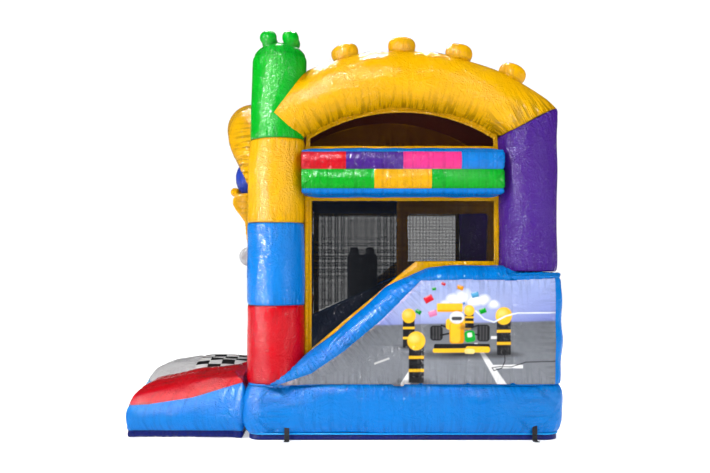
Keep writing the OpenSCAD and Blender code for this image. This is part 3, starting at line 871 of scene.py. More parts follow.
def turned(name, rings, sides=96):
    """A round piece built ring by ring from (radius, height) pairs."""
    bpy.ops.object.select_all(action="DESELECT")
    bpy.ops.mesh.primitive_circle_add(vertices=sides, radius=1, fill_type="NGON")
    made = bpy.context.object
    made.name = made.data.name = name
    made.data.transform(
        Matrix.Translation((0, 0, rings[0][1])) @ Matrix.Diagonal((rings[0][0], rings[0][0], 1, 1))
    )
    bpy.ops.object.mode_set(mode="EDIT")
    bpy.ops.mesh.select_all(action="SELECT")
    for (r0, z0), (r1, z1) in zip(rings, rings[1:]):
        bpy.ops.mesh.extrude_region_move(TRANSFORM_OT_translate={"value": (0, 0, z1 - z0)})
        k = r1 / r0
        bpy.ops.transform.resize(value=(k, k, 1), center_override=(0, 0, z1))
    bpy.ops.mesh.select_all(action="SELECT")
    bpy.ops.mesh.normals_make_consistent(inside=False)
    bpy.ops.object.mode_set(mode="OBJECT")
    return made


def swollen_rings(radius, low, high, pinch=0.014, swell=0.006, pitch=0.022):
    """Rings of a column that swells between two seams."""
    count = max(4, round((high - low) / pitch))
    rings = []
    for i in range(count + 1):
        z = low + (high - low) * i / count
        edge = min(z - low, high - z)
        rings.append(
            (radius + swell * math.sin(math.pi * i / count) - pinch * math.exp(-edge / 0.028), z)
        )
    return rings


def round_seam(z, x, y, radius):
    return lambda co: (np.abs(co[:, 2] - z), radius * np.arctan2(co[:, 1] - y, co[:, 0] - x))


def stand_on_tower(piece, sx):
    """Moves a column's ring to its tower, whose upper half narrows and leans back a little."""
    co = points_of(piece)
    narrow = 1 - 0.055 * np.clip((co[:, 2] - 2.19) / 0.85, 0, 1)
    co[:, 0] = sx * TOWER_X + co[:, 0] * narrow
    co[:, 1] = TOWER_Y + co[:, 1] * narrow + 0.045 * np.clip((co[:, 2] - 2.40) / 1.6, 0, 1) ** 1.5
    move_points(piece, co)


VEE = ((-1.005, 3.711), (-1.30, 3.290), (-1.005, 3.024))
vee_seam = seam_on_path(VEE)


def inside_vee(co):
    """How far a point lies inside the V where the side arch is sewn on the tower."""
    depth = np.full(len(co), 9.0)
    for (ay, az), (by, bz), turn in ((VEE[0], VEE[1], 1), (VEE[2], VEE[1], -1)):
        size = math.hypot(by - ay, bz - az)
        depth = np.minimum(
            depth, turn * ((co[:, 1] - by) * (az - bz) - (co[:, 2] - bz) * (ay - by)) / size
        )
    return depth


BANDS = (
    ("red_band", 0.556, 1.35, red_vinyl), ("blue_band", 1.35, 2.19, blue_vinyl),
    ("yellow_band", 2.19, 3.04, yellow_vinyl)
)
for side, sx in (("right", 1), ("left", -1)):
    for k, (band, low, high, skin) in enumerate(BANDS):
        ring = turned(
            f"tower_{side}_{band}_air", swollen_rings(TOWER_R, low, high, pinch=0.005, swell=0.003), 128
        )
        stand_on_tower(ring, sx)
        gather(
            ring,
            [
                round_seam(low, sx * TOWER_X, TOWER_Y, TOWER_R),
                round_seam(high, sx * TOWER_X, TOWER_Y, TOWER_R)
            ],
            40 + 3 * k + sx, depth=0.002, fold=0.005, reach=0.14, pitch=0.06, swell=0.004, span=0.35
        )
        ring.data.materials.append(skin)
        fit(smooth(ring), f"tower_{side}_{band}", inflated=1.0)
    rings = [
        (TOWER_R - 0.006 * math.exp(-(3.04 + 0.021 * i - 3.04) / 0.028), 3.04 + 0.021 * i)
        for i in range(38)
    ]
    rings += [
        (TOWER_R * math.cos(a) ** 0.85, 3.84 + 0.205 * math.sin(a))
        for a in [math.radians(x) for x in range(6, 90, 6)]
    ] + [(0.008, 4.045)]
    top = turned(f"tower_{side}_green_top_air", rings, 128)
    stand_on_tower(top, sx)
    gather(
        top,
        [
            round_seam(3.04, sx * TOWER_X, TOWER_Y, TOWER_R),
            round_seam(3.90, sx * TOWER_X, TOWER_Y, TOWER_R)
        ],
        60 + sx, depth=0.003, fold=0.005, reach=0.13, pitch=0.07, swell=0.003, span=0.35
    )
    co = points_of(top)
    co[:, 0] -= (co[:, 0] - sx * TOWER_X) * 0.12 * np.clip(inside_vee(co) / 0.06, 0, 1)
    move_points(top, co)
    top.data.materials.append(green_vinyl)
    fit(smooth(top), f"tower_{side}_green_top", inflated=1.0)

# ---------------------------------------------------------------- tower knobs
# Four fat green knobs stand on each tower, like the studs of a building block, sewn in at the
# foot and leaning a little outwards.
KNOB = [
    (0.066, 0.0), (0.066, 0.05), (0.076, 0.075), (0.088, 0.10), (0.092, 0.125), (0.089, 0.15),
    (0.078, 0.173), (0.058, 0.189), (0.031, 0.198), (0.004, 0.201)
]
knobs = []
for sx in (-1, 1):
    for k in range(4):
        knob = turned(f"knob_{sx}_{k}", KNOB, 40)
        knob.data.transform(
            Matrix.Rotation(math.radians(45 + 90 * k), 4, "Z") @ Matrix.Translation((0.150, 0, 3.952))
            @ Matrix.Rotation(math.radians(9), 4, "Y")
        )
        stand_on_tower(knob, sx)
        knobs.append(knob)
tower_knobs = join(*knobs)
tower_knobs.name = "tower_knobs_air"
gather(
    tower_knobs, [lambda co: (np.abs(co[:, 2] - 4.0), co[:, 0] + co[:, 1])], 71, depth=0.004,
    fold=0.004, reach=0.08, pitch=0.03, swell=0.004, span=0.10
)
tower_knobs.data.materials.append(green_vinyl)
apply(tower_knobs, "SUBSURF", levels=1, render_levels=1)
fit(smooth(tower_knobs), "tower_knobs", inflated=1.0)

# ---------------------------------------------------------------- rear pillars
# Purple air columns on the rear corners of the walls, cut at the top on the mitre that they
# share with the side arches.
PILLAR_Y, MITRE_Z, MITRE = 1.30, 3.2246, math.radians(26.1)
MITRE_NORMAL = Vector((0, -math.sin(MITRE), math.cos(MITRE)))
purple_vinyl = vinyl("purple_vinyl", PURPLE, crease=17, bump=1.2)


def slice_off(piece, point, normal):
    """Cuts away what lies ahead of a plane and closes the cut."""
    pick(piece)
    bpy.ops.object.mode_set(mode="EDIT")
    bpy.ops.mesh.select_all(action="SELECT")
    bpy.ops.mesh.bisect(plane_co=point, plane_no=normal, clear_outer=True, use_fill=True)
    bpy.ops.object.mode_set(mode="OBJECT")
    return piece


def mitre_seam(co):
    away = np.abs((co[:, 1] - PILLAR_Y) * MITRE_NORMAL.y + (co[:, 2] - MITRE_Z) * MITRE_NORMAL.z)
    rise = (co[:, 1] - PILLAR_Y) * MITRE_NORMAL.z - (co[:, 2] - MITRE_Z) * MITRE_NORMAL.y
    return away, TOWER_R * np.arctan2(co[:, 0] - TOWER_X, rise)


pillar = turned(
    "rear_pillar_right_air", swollen_rings(TOWER_R, 1.69, 3.62, pinch=0.010, swell=0.003), 128
)
pillar.data.transform(Matrix.Translation((TOWER_X, PILLAR_Y, 0)))
slice_off(pillar, (TOWER_X, PILLAR_Y, MITRE_Z), MITRE_NORMAL)
gather(
    pillar, [round_seam(1.69, TOWER_X, PILLAR_Y, TOWER_R), mitre_seam], 81, depth=0.005, fold=0.007,
    reach=0.16, pitch=0.065, swell=0.005, span=0.35
)
pillar.data.materials.append(purple_vinyl)
smooth(pillar)
far_pillar = mirrored(pillar, "rear_pillar_left_air")
fit(pillar, "rear_pillar_right", inflated=1.0)
fit(far_pillar, "rear_pillar_left", inflated=1.0)

# ---------------------------------------------------------------- side arches
# Yellow air tubes bent over each side, from the tower to the mitre on the rear pillar. The
# netting is sewn to the inside of the bend, so the skin gathers in short folds along it.
ARCH_R, ARCH_TUBE, ARCH_Z = 2.12, 0.297, 1.55


def arch_inner_seam(co):
    ring = np.hypot(co[:, 1], co[:, 2] - ARCH_Z)
    turn = np.arctan2(np.abs(co[:, 0] - TOWER_X), ARCH_R - ring)
    return ARCH_TUBE * turn, ARCH_R * np.arctan2(co[:, 1], co[:, 2] - ARCH_Z)


bpy.ops.object.select_all(action="DESELECT")
bpy.ops.mesh.primitive_torus_add(
    major_radius=ARCH_R, minor_radius=ARCH_TUBE, major_segments=880, minor_segments=72
)
arch = bpy.context.object
arch.name = arch.data.name = "side_arch_right_air"
arch.data.transform(Matrix.Translation((TOWER_X, 0, ARCH_Z)) @ Matrix.Rotation(math.pi / 2, 4, "Y"))
slice_off(arch, (TOWER_X, PILLAR_Y, MITRE_Z), -MITRE_NORMAL)
slice_off(arch, (TOWER_X, TOWER_Y, 0), (0, -1, 0))
co = points_of(arch)
foot = np.clip((-0.90 - co[:, 1]) / 0.40, 0, 1) ** 2
axis_z = ARCH_Z + np.sqrt(np.maximum(ARCH_R**2 - co[:, 1] ** 2, 0))
co[:, 2] = axis_z + (co[:, 2] - axis_z) * (1 - 0.01 * foot) + 0.062 * foot
move_points(arch, co)
for (ay, az), (by, bz), outwards in ((VEE[0], VEE[1], -1), (VEE[2], VEE[1], 1)):
    slice_off(arch, (TOWER_X, by, bz), (0, outwards * (az - bz), -outwards * (ay - by)))
inner_creases = on_face(arch_inner_seam, lambda co: co[:, 1] > -1.10)
gather(
    arch, [inner_creases, mitre_seam], 91, depth=0.003, width=0.012, fold=0.017, reach=0.22,
    pitch=0.080, swell=0.007
)
co = points_of(arch)
near_vee = np.exp(-np.square(vee_seam(co)[0] / 0.05))
tower_y = TOWER_Y + 0.045 * np.clip((co[:, 2] - 2.40) / 1.6, 0, 1) ** 1.5
tower_skin = np.sqrt(np.maximum((0.945 * TOWER_R) ** 2 - np.square(co[:, 1] - tower_y), 0)) + 0.009
onto = TOWER_X + np.sign(co[:, 0] - TOWER_X) * np.minimum(tower_skin, np.abs(co[:, 0] - TOWER_X))
co[:, 0] = co[:, 0] * (1 - near_vee) + onto * near_vee
move_points(arch, co)
# The arches' fold amount is high, so the valleys of the folds along the inner seam get a deep painted
# shade.
arch_vinyl = vinyl("yellow_arch_vinyl", YELLOW, bump=1.0, fold=2.8)
arch.data.materials.append(arch_vinyl)
smooth(arch)
far_arch = mirrored(arch, "side_arch_left_air")
fit(arch, "side_arch_right", inflated=1.0)
fit(far_arch, "side_arch_left", inflated=1.0)

# ---------------------------------------------------------------- arch knobs
# Four low yellow knobs ride on the back of each side arch.
ARCH_KNOB = [
    (0.128, 0.0), (0.138, 0.04), (0.143, 0.08), (0.142, 0.115), (0.132, 0.145), (0.110, 0.165),
    (0.080, 0.177), (0.045, 0.183), (0.006, 0.185)
]
knobs = []
for sx in (-1, 1):
    for k, lean in enumerate((-13.8, 0, 13.8, 27.6)):
        knob = turned(f"arch_knob_{sx}_{k}", ARCH_KNOB, 48)
        knob.data.transform(
            Matrix.Translation((sx * TOWER_X, 0, ARCH_Z)) @ Matrix.Rotation(-math.radians(lean), 4, "X")
            @ Matrix.Translation((0, 0, ARCH_R + ARCH_TUBE - 0.044)))
        knobs.append(knob)
arch_knobs = join(*knobs)
arch_knobs.name = "arch_knobs_air"
gather(
    arch_knobs,
    [lambda co: (np.abs(np.hypot(co[:, 1], co[:, 2] - ARCH_Z) - ARCH_R - ARCH_TUBE), co[:, 0] + co[:, 1])],
    72, depth=0.006, fold=0.004, reach=0.08, pitch=0.04, swell=0.003, span=0.15
)
arch_knobs.data.materials.append(yellow_vinyl)
apply(arch_knobs, "SUBSURF", levels=1, render_levels=1)
fit(smooth(arch_knobs), "arch_knobs", inflated=1.0)

# ---------------------------------------------------------------- front arch
# A yellow air tube over the way in. It leans forward between the towers like a peak.
FRONT_R, LEAN = 1.638, math.radians(24)
HALF_TURN = math.asin(TOWER_X / FRONT_R)
DROP = FRONT_R * math.cos(HALF_TURN)
FRONT_CENTRE = Vector((0, TOWER_Y + DROP * math.sin(LEAN), 2.55 - DROP * math.cos(LEAN)))
bpy.ops.object.select_all(action="DESELECT")
bpy.ops.mesh.primitive_torus_add(
    major_radius=FRONT_R, minor_radius=0.292, major_segments=640, minor_segments=64
)
front_arch = bpy.context.object
front_arch.name = front_arch.data.name = "front_arch_air"
front_arch.data.transform(
    Matrix.Translation(FRONT_CENTRE) @ Matrix.Rotation(LEAN + math.pi / 2, 4, "X")
)
up = Vector((0, -math.sin(LEAN), math.cos(LEAN)))
for sx in (-1, 1):
    slice_off(front_arch, (sx * (TOWER_X - 0.06), 0, 0), (sx, 0, 0))
slice_off(front_arch, FRONT_CENTRE + up * DROP * 0.80, -up)
co = points_of(front_arch)
across = np.array((0, math.cos(LEAN), math.sin(LEAN)))
from_middle = co - np.array(FRONT_CENTRE)
off_plane = from_middle @ across
in_plane = from_middle - off_plane[:, None] * across
ring = np.linalg.norm(in_plane, axis=1)
narrow = 1 - 0.11 * np.clip((np.abs(co[:, 0]) - 1.0) / 0.35, 0, 1)
co = np.array(FRONT_CENTRE) + in_plane * (
    (FRONT_R + (ring - FRONT_R) * narrow) / ring
)[:, None] + (off_plane * narrow)[:, None] * across
move_points(front_arch, co)


def front_inner_seam(co):
    x, u = co[:, 0], (co - np.array(FRONT_CENTRE)) @ np.array(up)
    w = (co - np.array(FRONT_CENTRE)) @ np.array((0, math.cos(LEAN), math.sin(LEAN)))
    ring = np.hypot(x, u)
    return 0.292 * np.arctan2(np.abs(w), FRONT_R - ring), FRONT_R * np.arctan2(x, u)


def both_tower_seam(co):
    reach = np.hypot(np.abs(co[:, 0]) - TOWER_X, co[:, 1] - TOWER_Y)
    return np.abs(reach - TOWER_R), co[:, 2]


gather(
    front_arch, [front_inner_seam, both_tower_seam], 92, depth=0.006, fold=0.009, reach=0.22,
    pitch=0.06, swell=0.005
)
front_arch.data.materials.append(arch_vinyl)
fit(smooth(front_arch), "front_arch", inflated=1.0)

# ---------------------------------------------------------------- rear header
# A straight yellow tube joins the two rear pillars and carries the roof's back edge.
header = turned(
    "rear_header_air", swollen_rings(0.192, -1.20, 1.20, pinch=0.0, swell=0.002, pitch=0.03), 64
)
header.data.transform(Matrix.Translation((0, PILLAR_Y, 3.02)) @ Matrix.Rotation(math.pi / 2, 4, "Y"))
gather(
    header,
    [
        lambda co: (
            np.abs(np.abs(co[:, 0]) - 1.18), 0.2 * np.arctan2(co[:, 1] - PILLAR_Y, co[:, 2] - 3.02)
        ),
        lambda co: (np.hypot(co[:, 1] - PILLAR_Y, co[:, 2] - 2.83), co[:, 0])
    ],
    93, depth=0.008, fold=0.008, reach=0.15, swell=0.003
)
header.data.materials.append(yellow_vinyl)
fit(smooth(header), "rear_header", inflated=1.0)

# ---------------------------------------------------------------- side headers
# A square air beam across each side, sewn on its outer face from seven coloured blocks in two
# rows between narrow blue strips.
TOP_JOINS, LOW_JOINS = (-0.578, -0.003, 0.582), (-0.293, 0.282)
pink_vinyl = vinyl("pink_vinyl", PINK)
beam = draw_out(
    cut_panel(
        "side_header_right_air",
        [(1.43, -1.035, 2.488), (1.722, -1.035, 2.488), (1.722, -1.035, 2.918), (1.43, -1.035, 2.918)]
    ),
    (0, 2.05, 0), 1
)
melt(beam, 0.016, 7)
bpy.ops.object.mode_set(mode="EDIT")
for height in (2.53, 2.725, 2.90):
    bpy.ops.mesh.select_all(action="SELECT")
    bpy.ops.mesh.bisect(plane_co=(0, 0, height), plane_no=(0, 0, 1))
for y in TOP_JOINS + LOW_JOINS:
    bpy.ops.mesh.select_all(action="SELECT")
    bpy.ops.mesh.bisect(plane_co=(0, y, 0), plane_no=(0, 1, 0))
bpy.ops.object.mode_set(mode="OBJECT")
# The beam's inner side is a much darker blue than its outer skin: a painted shade for the side that faces
# into the dim room.
inner_blue = vinyl("inner_blue_painted_shade_vinyl", (0.0, 0.02, 0.09))
for skin in (blue_vinyl, red_vinyl, purple_vinyl, pink_vinyl, green_vinyl, yellow_vinyl, inner_blue):
    beam.data.materials.append(skin)
for face in beam.data.polygons:
    x, y, z = face.center
    if x > 1.56 and -1.06 < y < 1.04:
        if 2.725 < z < 2.90:
            face.material_index = (1, 2, 3, 0)[sum(y > j for j in TOP_JOINS)]
        elif 2.53 < z < 2.725:
            face.material_index = (4, 5, 4)[sum(y > j for j in LOW_JOINS)]
    # the inner faces take the painted shade blue
    if x < 1.47:
        face.material_index = 6

beam_seams = [
    lambda co, z=z: (np.where(co[:, 0] > 1.6, np.abs(co[:, 2] - z), 9.0), co[:, 1])
    for z in (2.53, 2.725, 2.90)
]
beam_seams += [lambda co: (np.abs(np.abs(co[:, 1]) - 1.035), co[:, 2] + co[:, 0])]
gather(
    beam, beam_seams, 101, depth=0.004, width=0.012, fold=0.005, reach=0.06, pitch=0.05, swell=0.003,
    span=0.3, puff=0.036, roll=0.07
)
co = points_of(beam)
co[:, 0] -= 0.55 * np.clip(2.545 - co[:, 2], 0, 0.07) + 0.45 * np.clip(co[:, 2] - 2.885, 0, 0.07)
move_points(beam, co)
smooth(beam)
far_beam = mirrored(beam, "side_header_left_air")
fit(beam, "side_header_right", inflated=1.0)
fit(far_beam, "side_header_left", inflated=1.0)

# ---------------------------------------------------------------- roof sheet
# One dark red sheet over the room, from the rear header up between the side arches and down
# to the front arch. It is laced tight, so it hardly sags.
arc = [
    (2.09 * math.sin(math.radians(a)), ARCH_Z + 2.09 * math.cos(math.radians(a)))
    for a in range(38, -35, -2)
] + [(-1.405, 3.331)]
bpy.ops.object.select_all(action="DESELECT")
bpy.ops.mesh.primitive_grid_add(x_subdivisions=48, y_subdivisions=len(arc) - 1, size=1)
roof = bpy.context.object
roof.name = roof.data.name = "roof_cloth"
co = points_of(roof)
step = np.rint((co[:, 1] + 0.5) * (len(arc) - 1)).astype(int)
sag = 0.012 * np.sin(np.pi * (co[:, 0] + 0.5)) ** 2 * (0.5 + 0.5 * np.cos(np.pi * step / 4))
line = np.array(arc)
co = np.stack([2.314 * co[:, 0], line[step, 0], line[step, 1] - sag], 1)
move_points(roof, co)
roof_cloth = vinyl("dark_red_roof_cloth", (0.13, 0.004, 0.008), gloss=0.45)
roof.data.materials.append(roof_cloth)
fit(smooth(roof), "roof_sheet")

# ---------------------------------------------------------------- netting
# Black knotted netting closes the side windows, the rear window and the gap over the divider.
# It is stretched flat in its hems, and the upper side windows have a closer, reddish net.
MESHES_PER_METRE = 90


def netting(name, colour, density, least):
    """Net of cords this dense, whose gaps still cover this least part of what is behind."""
    net = bpy.data.materials.new(name)
    net.use_nodes = True
    tree = net.node_tree
    add, link = tree.nodes.new, tree.links.new
    shader = tree.nodes["Principled BSDF"]
    shader.inputs["Base Color"].default_value = (*colour, 1)
    shader.inputs["Roughness"].default_value = 0.75
    shader.inputs["Specular IOR Level"].default_value = 0.0
    place = add("ShaderNodeTexCoord")
    spread = add("ShaderNodeSeparateXYZ")
    link(place.outputs["Object"], spread.inputs["Vector"])
    along = computed(tree, "ADD", spread.outputs["X"], spread.outputs["Y"])
    cover = 0.0
    for source in (along, spread.outputs["Z"]):
        cell = computed(tree, "FRACT", computed(tree, "MULTIPLY", source, MESHES_PER_METRE))
        cover = computed(tree, "MAXIMUM", cover, computed(tree, "LESS_THAN", cell, density))
    link(remapped(tree, cover, least, 1.0), shader.inputs["Alpha"])
    return net


black_net = netting("black_net", (0.010, 0.011, 0.013), 0.28, 0.21)
close_net = netting("close_black_net", (0.016, 0.004, 0.003), 0.40, 0.52)
LOWER_EDGE = (
    (1.004, 2.47), (1.004, 1.640), (0.954, 1.648), (0.300, 1.612), (-0.120, 1.430), (-0.600, 0.988),
    (-0.880, 0.785), (-1.004, 0.670), (-1.004, 2.47)
)


INNER_ARC = ARCH_R - ARCH_TUBE + 0.03
UPPER_EDGE = tuple(
    (INNER_ARC * math.sin(math.radians(a)), ARCH_Z + INNER_ARC * math.cos(math.radians(a)))
    for a in range(32, -33, -4)
)
UPPER_EDGE = ((1.0, 2.93),) + UPPER_EDGE + ((-1.0, 2.93),)
for side, sx in (("right", 1), ("left", -1)):
    for level, edge in (("lower", LOWER_EDGE), ("upper", UPPER_EDGE)):
        net = cut_panel(f"{level}_net_{side}", [(sx * 1.455, y, z) for y, z in edge])
        net.data.materials.append(black_net if level == "lower" else close_net)
        fit(net, f"{level}_mesh_{side}")
rear_net = cut_panel(
    "rear_net",
    [(-1.157, 1.308, 1.56), (1.157, 1.308, 1.56), (1.157, 1.308, 2.84), (-1.157, 1.308, 2.84)]
)
rear_net.data.materials.append(black_net)
fit(rear_net, "rear_mesh")
DIVIDER_NET = ((-1.29, 1.042), (0.038, 1.615), (0.038, 2.50), (-1.29, 2.50))
divider_net = cut_panel("divider_net", [(0.077, y, z) for y, z in DIVIDER_NET])
divider_net.data.materials.append(black_net)
fit(divider_net, "divider_mesh")

# ---------------------------------------------------------------- window hems
# Folded yellow hems frame the netting and take up its pull, so they pucker all round.
def walk(edge, parts):
    """The points of a closed edge, with this many steps from each corner to the next."""
    return [
        (a[0] + (b[0] - a[0]) * k / parts, a[1] + (b[1] - a[1]) * k / parts)
        for a, b in zip(edge, edge[1:] + edge[:1]) for k in range(parts)
    ]


def hem(name, outer, inner, parts, x, thick):
    """A flat frame between two edges whose corners pair up, given thickness."""
    outside, within = walk(outer, parts), walk(inner, parts)
    bpy.ops.object.select_all(action="DESELECT")
    bpy.ops.mesh.primitive_cylinder_add(vertices=len(outside), end_fill_type="NOTHING")
    strip = bpy.context.object
    strip.name = strip.data.name = name
    co = points_of(strip)
    low = co[:, 2] < 0
    co[low] = [(x, y, z) for y, z in outside]
    co[~low] = [(x, y, z) for y, z in within]
    move_points(strip, co)
    apply(strip, "SUBSURF", subdivision_type="SIMPLE", levels=2, render_levels=2)
    bpy.ops.object.mode_set(mode="EDIT")
    bpy.ops.mesh.select_all(action="SELECT")
    bpy.ops.mesh.normals_make_consistent(inside=False)
    bpy.ops.object.mode_set(mode="OBJECT")
    return apply(strip, "SOLIDIFY", thickness=thick, offset=0)


HEM_OUT = (
    (1.004, 2.47), (1.004, 1.62), (0.954, 1.66), (0.300, 1.62), (-0.120, 1.44), (-0.600, 0.995),
    (-0.880, 0.79), (-1.004, 0.68), (-1.004, 2.47)
)
HEM_IN = (
    (0.950, 2.42), (0.950, 1.80), (0.70, 1.80), (0.140, 1.795), (-0.28, 1.445), (-0.60, 1.18),
    (-0.80, 1.01), (-0.930, 0.90), (-0.930, 2.42)
)
UP_IN = ((0.945, 2.985),) + tuple(
    (
        (INNER_ARC - 0.07) * math.sin(math.radians(a)),
        ARCH_Z + (INNER_ARC - 0.07) * math.cos(math.radians(a))
    )
    for a in range(32, -33, -4)
) + ((-0.945, 2.985),)
hems = []
for sx in (1, -1):
    for k, (outer, inner, parts) in enumerate(((HEM_OUT, HEM_IN, 16), (UPPER_EDGE, UP_IN, 8))):
        hems.append(hem(f"hem_{sx}_{k}", outer, inner, parts, sx * 1.470, 0.014))
frames = join(*hems)
frames.name = frames.data.name = "window_hems"
hem_seams = [seam_on_path(edge + edge[:1]) for edge in (HEM_OUT, UPPER_EDGE, HEM_IN, UP_IN)]
gather(frames, hem_seams, 111, depth=0.0, fold=0.005, reach=0.10, pitch=0.05, swell=0.001)
frames.data.materials.append(yellow_vinyl)
fit(smooth(frames), "window_frames")

# ---------------------------------------------------------------- slide lane
# Inside the lane: a red ramp from the rear platform down to the way out, the blue platform
# itself, and the wall with a doorway that parts the lane from the jump floor.
ramp = draw_out(
    cut_panel(
        "slide_ramp_air",
        [
            (0.156, y, z)
            for y, z in (
                (0.35, 0.562), (0.35, 1.245), (0.25, 1.222), (0.10, 1.158), (-0.10, 1.058),
                (-0.40, 0.903), (-0.70, 0.753), (-0.90, 0.668), (-1.10, 0.623), (-1.35, 0.600),
                (-1.585, 0.598), (-1.585, 0.562)
            )
        ]
    ),
    (1.28, 0, 0), 1
)
melt(ramp, 0.02, 4)
gather(
    ramp, [lambda co, x=x: (np.abs(co[:, 0] - x), co[:, 1]) for x in (0.17, 0.58, 1.0, 1.42)], 121,
    depth=0.014, fold=0.006, reach=0.10
)
ramp.data.materials.append(red_vinyl)
fit(smooth(ramp), "slide_ramp", inflated=1.0)

platform = draw_out(
    cut_panel(
        "rear_platform_air",
        [(0.156, 0.354, 0.562), (1.436, 0.354, 0.562), (1.436, 1.302, 0.562), (0.156, 1.302, 0.562)]
    ),
    (0, 0, 0.684), 1
)
melt(platform, 0.024, 4)
gather(platform, [lambda co: (np.abs(co[:, 2] - 1.22), co[:, 0] + co[:, 1])], 122, depth=0.008)
platform.data.materials.append(blue_vinyl)
fit(smooth(platform), "rear_platform", inflated=1.0)

DIVIDER = (
    (-1.27, 0.562), (-1.27, 0.96), (-1.18, 1.08), (0.04, 1.608), (0.04, 2.52), (1.30, 2.52),
    (1.30, 0.562)
)
divider = draw_out(cut_panel("divider_wall_air", [(0.004, y, z) for y, z in DIVIDER]), (0.146, 0, 0), 1)
doorway = draw_out(
    cut_panel(
        "doorway_cut",
        [(-0.2, y, z) for y, z in ((0.17, 1.25), (1.12, 1.25), (1.12, 2.36), (0.17, 2.36))]
    ),
    (0.6, 0, 0), 1
)
apply(divider, "BOOLEAN", object=doorway, operation="DIFFERENCE", solver="EXACT")
bpy.data.objects.remove(doorway)
melt(divider, 0.018, 6)
gather(divider, [seam_on_path(DIVIDER, 0.06)], 123, depth=0.006, reach=0.10)
co = points_of(divider)
zone(divider, "upper_wall", np.minimum(co[:, 2] - 1.22, co[:, 1]))
# The upper wall's brown is yellow darkened as painted shade for the dim room; the rest of the wall is a
# very dark blue.
divider.data.materials.append(
    vinyl("divider_painted_shade_vinyl", (0.006, 0.018, 0.045), zones=[("upper_wall", (0.36, 0.16, 0.0))])
)
fit(smooth(divider), "divider_wall", inflated=1.0)

# ---------------------------------------------------------------- climbing steps and post
# Two green steps lead up to the doorway, and a dark padded post stands on the jump floor to
# bounce off.
steps = draw_out(
    cut_panel(
        "climb_steps_air",
        [
            (x, 1.138, z)
            for x, z in (
                (-0.458, 0.562), (-0.458, 0.828), (-0.230, 0.828), (-0.230, 1.048), (0.0, 1.048),
                (0.0, 0.562)
            )
        ]
    ),
    (0, -0.716, 0), 1
)
melt(steps, 0.018, 5)
gather(
    steps,
    [lambda co: (np.abs(co[:, 2] - 0.80), co[:, 1]), lambda co: (np.abs(co[:, 2] - 1.02), co[:, 1])],
    131, depth=0.005, reach=0.08
)
steps.data.materials.append(green_vinyl)
fit(smooth(steps), "climb_steps", inflated=1.0)
dark_vinyl = vinyl("dark_vinyl", (0.012, 0.016, 0.026), gloss=0.25)
POST_X, POST_Y = -0.82, -0.35
post = draw_out(cut_panel("bop_post_air", rounded_outline(0.146, 0.196, 0.06, 0.563)), (0, 0, 1.322), 1)
post.data.transform(Matrix.Translation((POST_X, POST_Y, 0)))
STUD = [(0.058, 0.0), (0.060, 0.03), (0.060, 0.075), (0.054, 0.095), (0.036, 0.106), (0.006, 0.110)]
studs = []
for x in (-0.075, 0.075):
    for y in (-0.10, 0.10):
        stud = turned("stud", STUD, 40)
        stud.data.transform(Matrix.Translation((POST_X + x, POST_Y + y, 1.872)))
        studs.append(stud)
melt(join(post, *studs), 0.014, 4)
gather(
    post, [seam_at_height(1.86, 0.3), seam_at_height(1.2, 0.3), seam_at_height(0.60, 0.3)], 132,
    depth=0.005, fold=0.006, reach=0.1, pitch=0.05
)
post.data.materials.append(dark_vinyl)
fit(smooth(post), "bop_post", inflated=1.0)

# ---------------------------------------------------------------- landing pad
# The red pad at the slide's foot: blue sides, red top and front, swollen by its air and drawn
# in at the corners and at the seams that run down it.
PAD_Y = [-2.85, -2.60, -2.15, -1.60]
PAD_SEAM, PAD_CROWN = [0.342, 0.352, 0.42, 0.585], [0.395, 0.491, 0.576, 0.648]
PAD_SIDE = (
    (-1.606, 0.012), (-1.606, 0.577), (-1.83, 0.498), (-2.15, 0.412), (-2.60, 0.344), (-2.79, 0.334),
    (-2.835, 0.270), (-2.835, 0.012)
)
pad = draw_out(cut_panel("landing_pad_air", [(0.22, y, z) for y, z in PAD_SIDE]), (1.41, 0, 0), 1)
melt(pad, 0.02, 8)


def inflate(piece, seed, cap, pressure=4.0, stiff=8.0):
    """Lets the skin fill with air in a short cloth run, moving no point further than the cap."""
    before = points_of(piece)
    pick(piece)
    cloth = piece.modifiers.new("air", "CLOTH")
    cloth.settings.use_pressure = True
    cloth.settings.uniform_pressure_force = pressure
    cloth.settings.tension_stiffness = stiff
    cloth.settings.compression_stiffness = stiff
    cloth.settings.quality = 4
    cloth.settings.effector_weights.gravity = 0
    cloth.settings.shrink_min = -0.03
    scene = bpy.context.scene
    for step in range(1, 17):
        scene.frame_set(step)
    bpy.ops.object.modifier_apply(modifier="air")
    scene.frame_set(1)
    after = points_of(piece)
    way = after - before
    size = np.linalg.norm(way, axis=1)
    move_points(piece, before + way * np.minimum(1, cap / np.maximum(size, 1e-9))[:, None])


inflate(pad, 1, 0.03)
co = points_of(pad)
off = np.clip(np.abs(co[:, 0] - 0.925) / 0.70, 0, 1)
lift = np.interp(co[:, 1], PAD_Y, PAD_CROWN) - np.interp(co[:, 1], PAD_Y, PAD_SEAM)
high = np.clip((co[:, 2] - 0.20) / (np.interp(co[:, 1], PAD_Y, PAD_SEAM) - 0.22), 0, 1)
nose = np.clip((co[:, 1] + 2.86) / 0.12, 0, 1) ** 0.6
co[:, 2] += lift * np.sqrt(1 - off**2.4) * high * nose
co[:, 1] = np.minimum(co[:, 1], -1.600)
rise = np.clip((co[:, 2] - 0.06) / (np.interp(co[:, 1], PAD_Y, PAD_SEAM) - 0.06), 0, 1)
flank = np.clip((np.abs(co[:, 0] - 0.925) - 0.58) / 0.10, 0, 1) * np.sign(co[:, 0] - 0.925)
co[:, 0] += 0.045 * flank * (1 - np.abs(2 * rise - 1) ** 2.2) - 0.012 * flank
move_points(pad, co)


def pad_line(co):
    """How far a point of the pad lies above the seam along its side."""
    return co[:, 2] - np.interp(co[:, 1], PAD_Y, PAD_SEAM) + 0.012


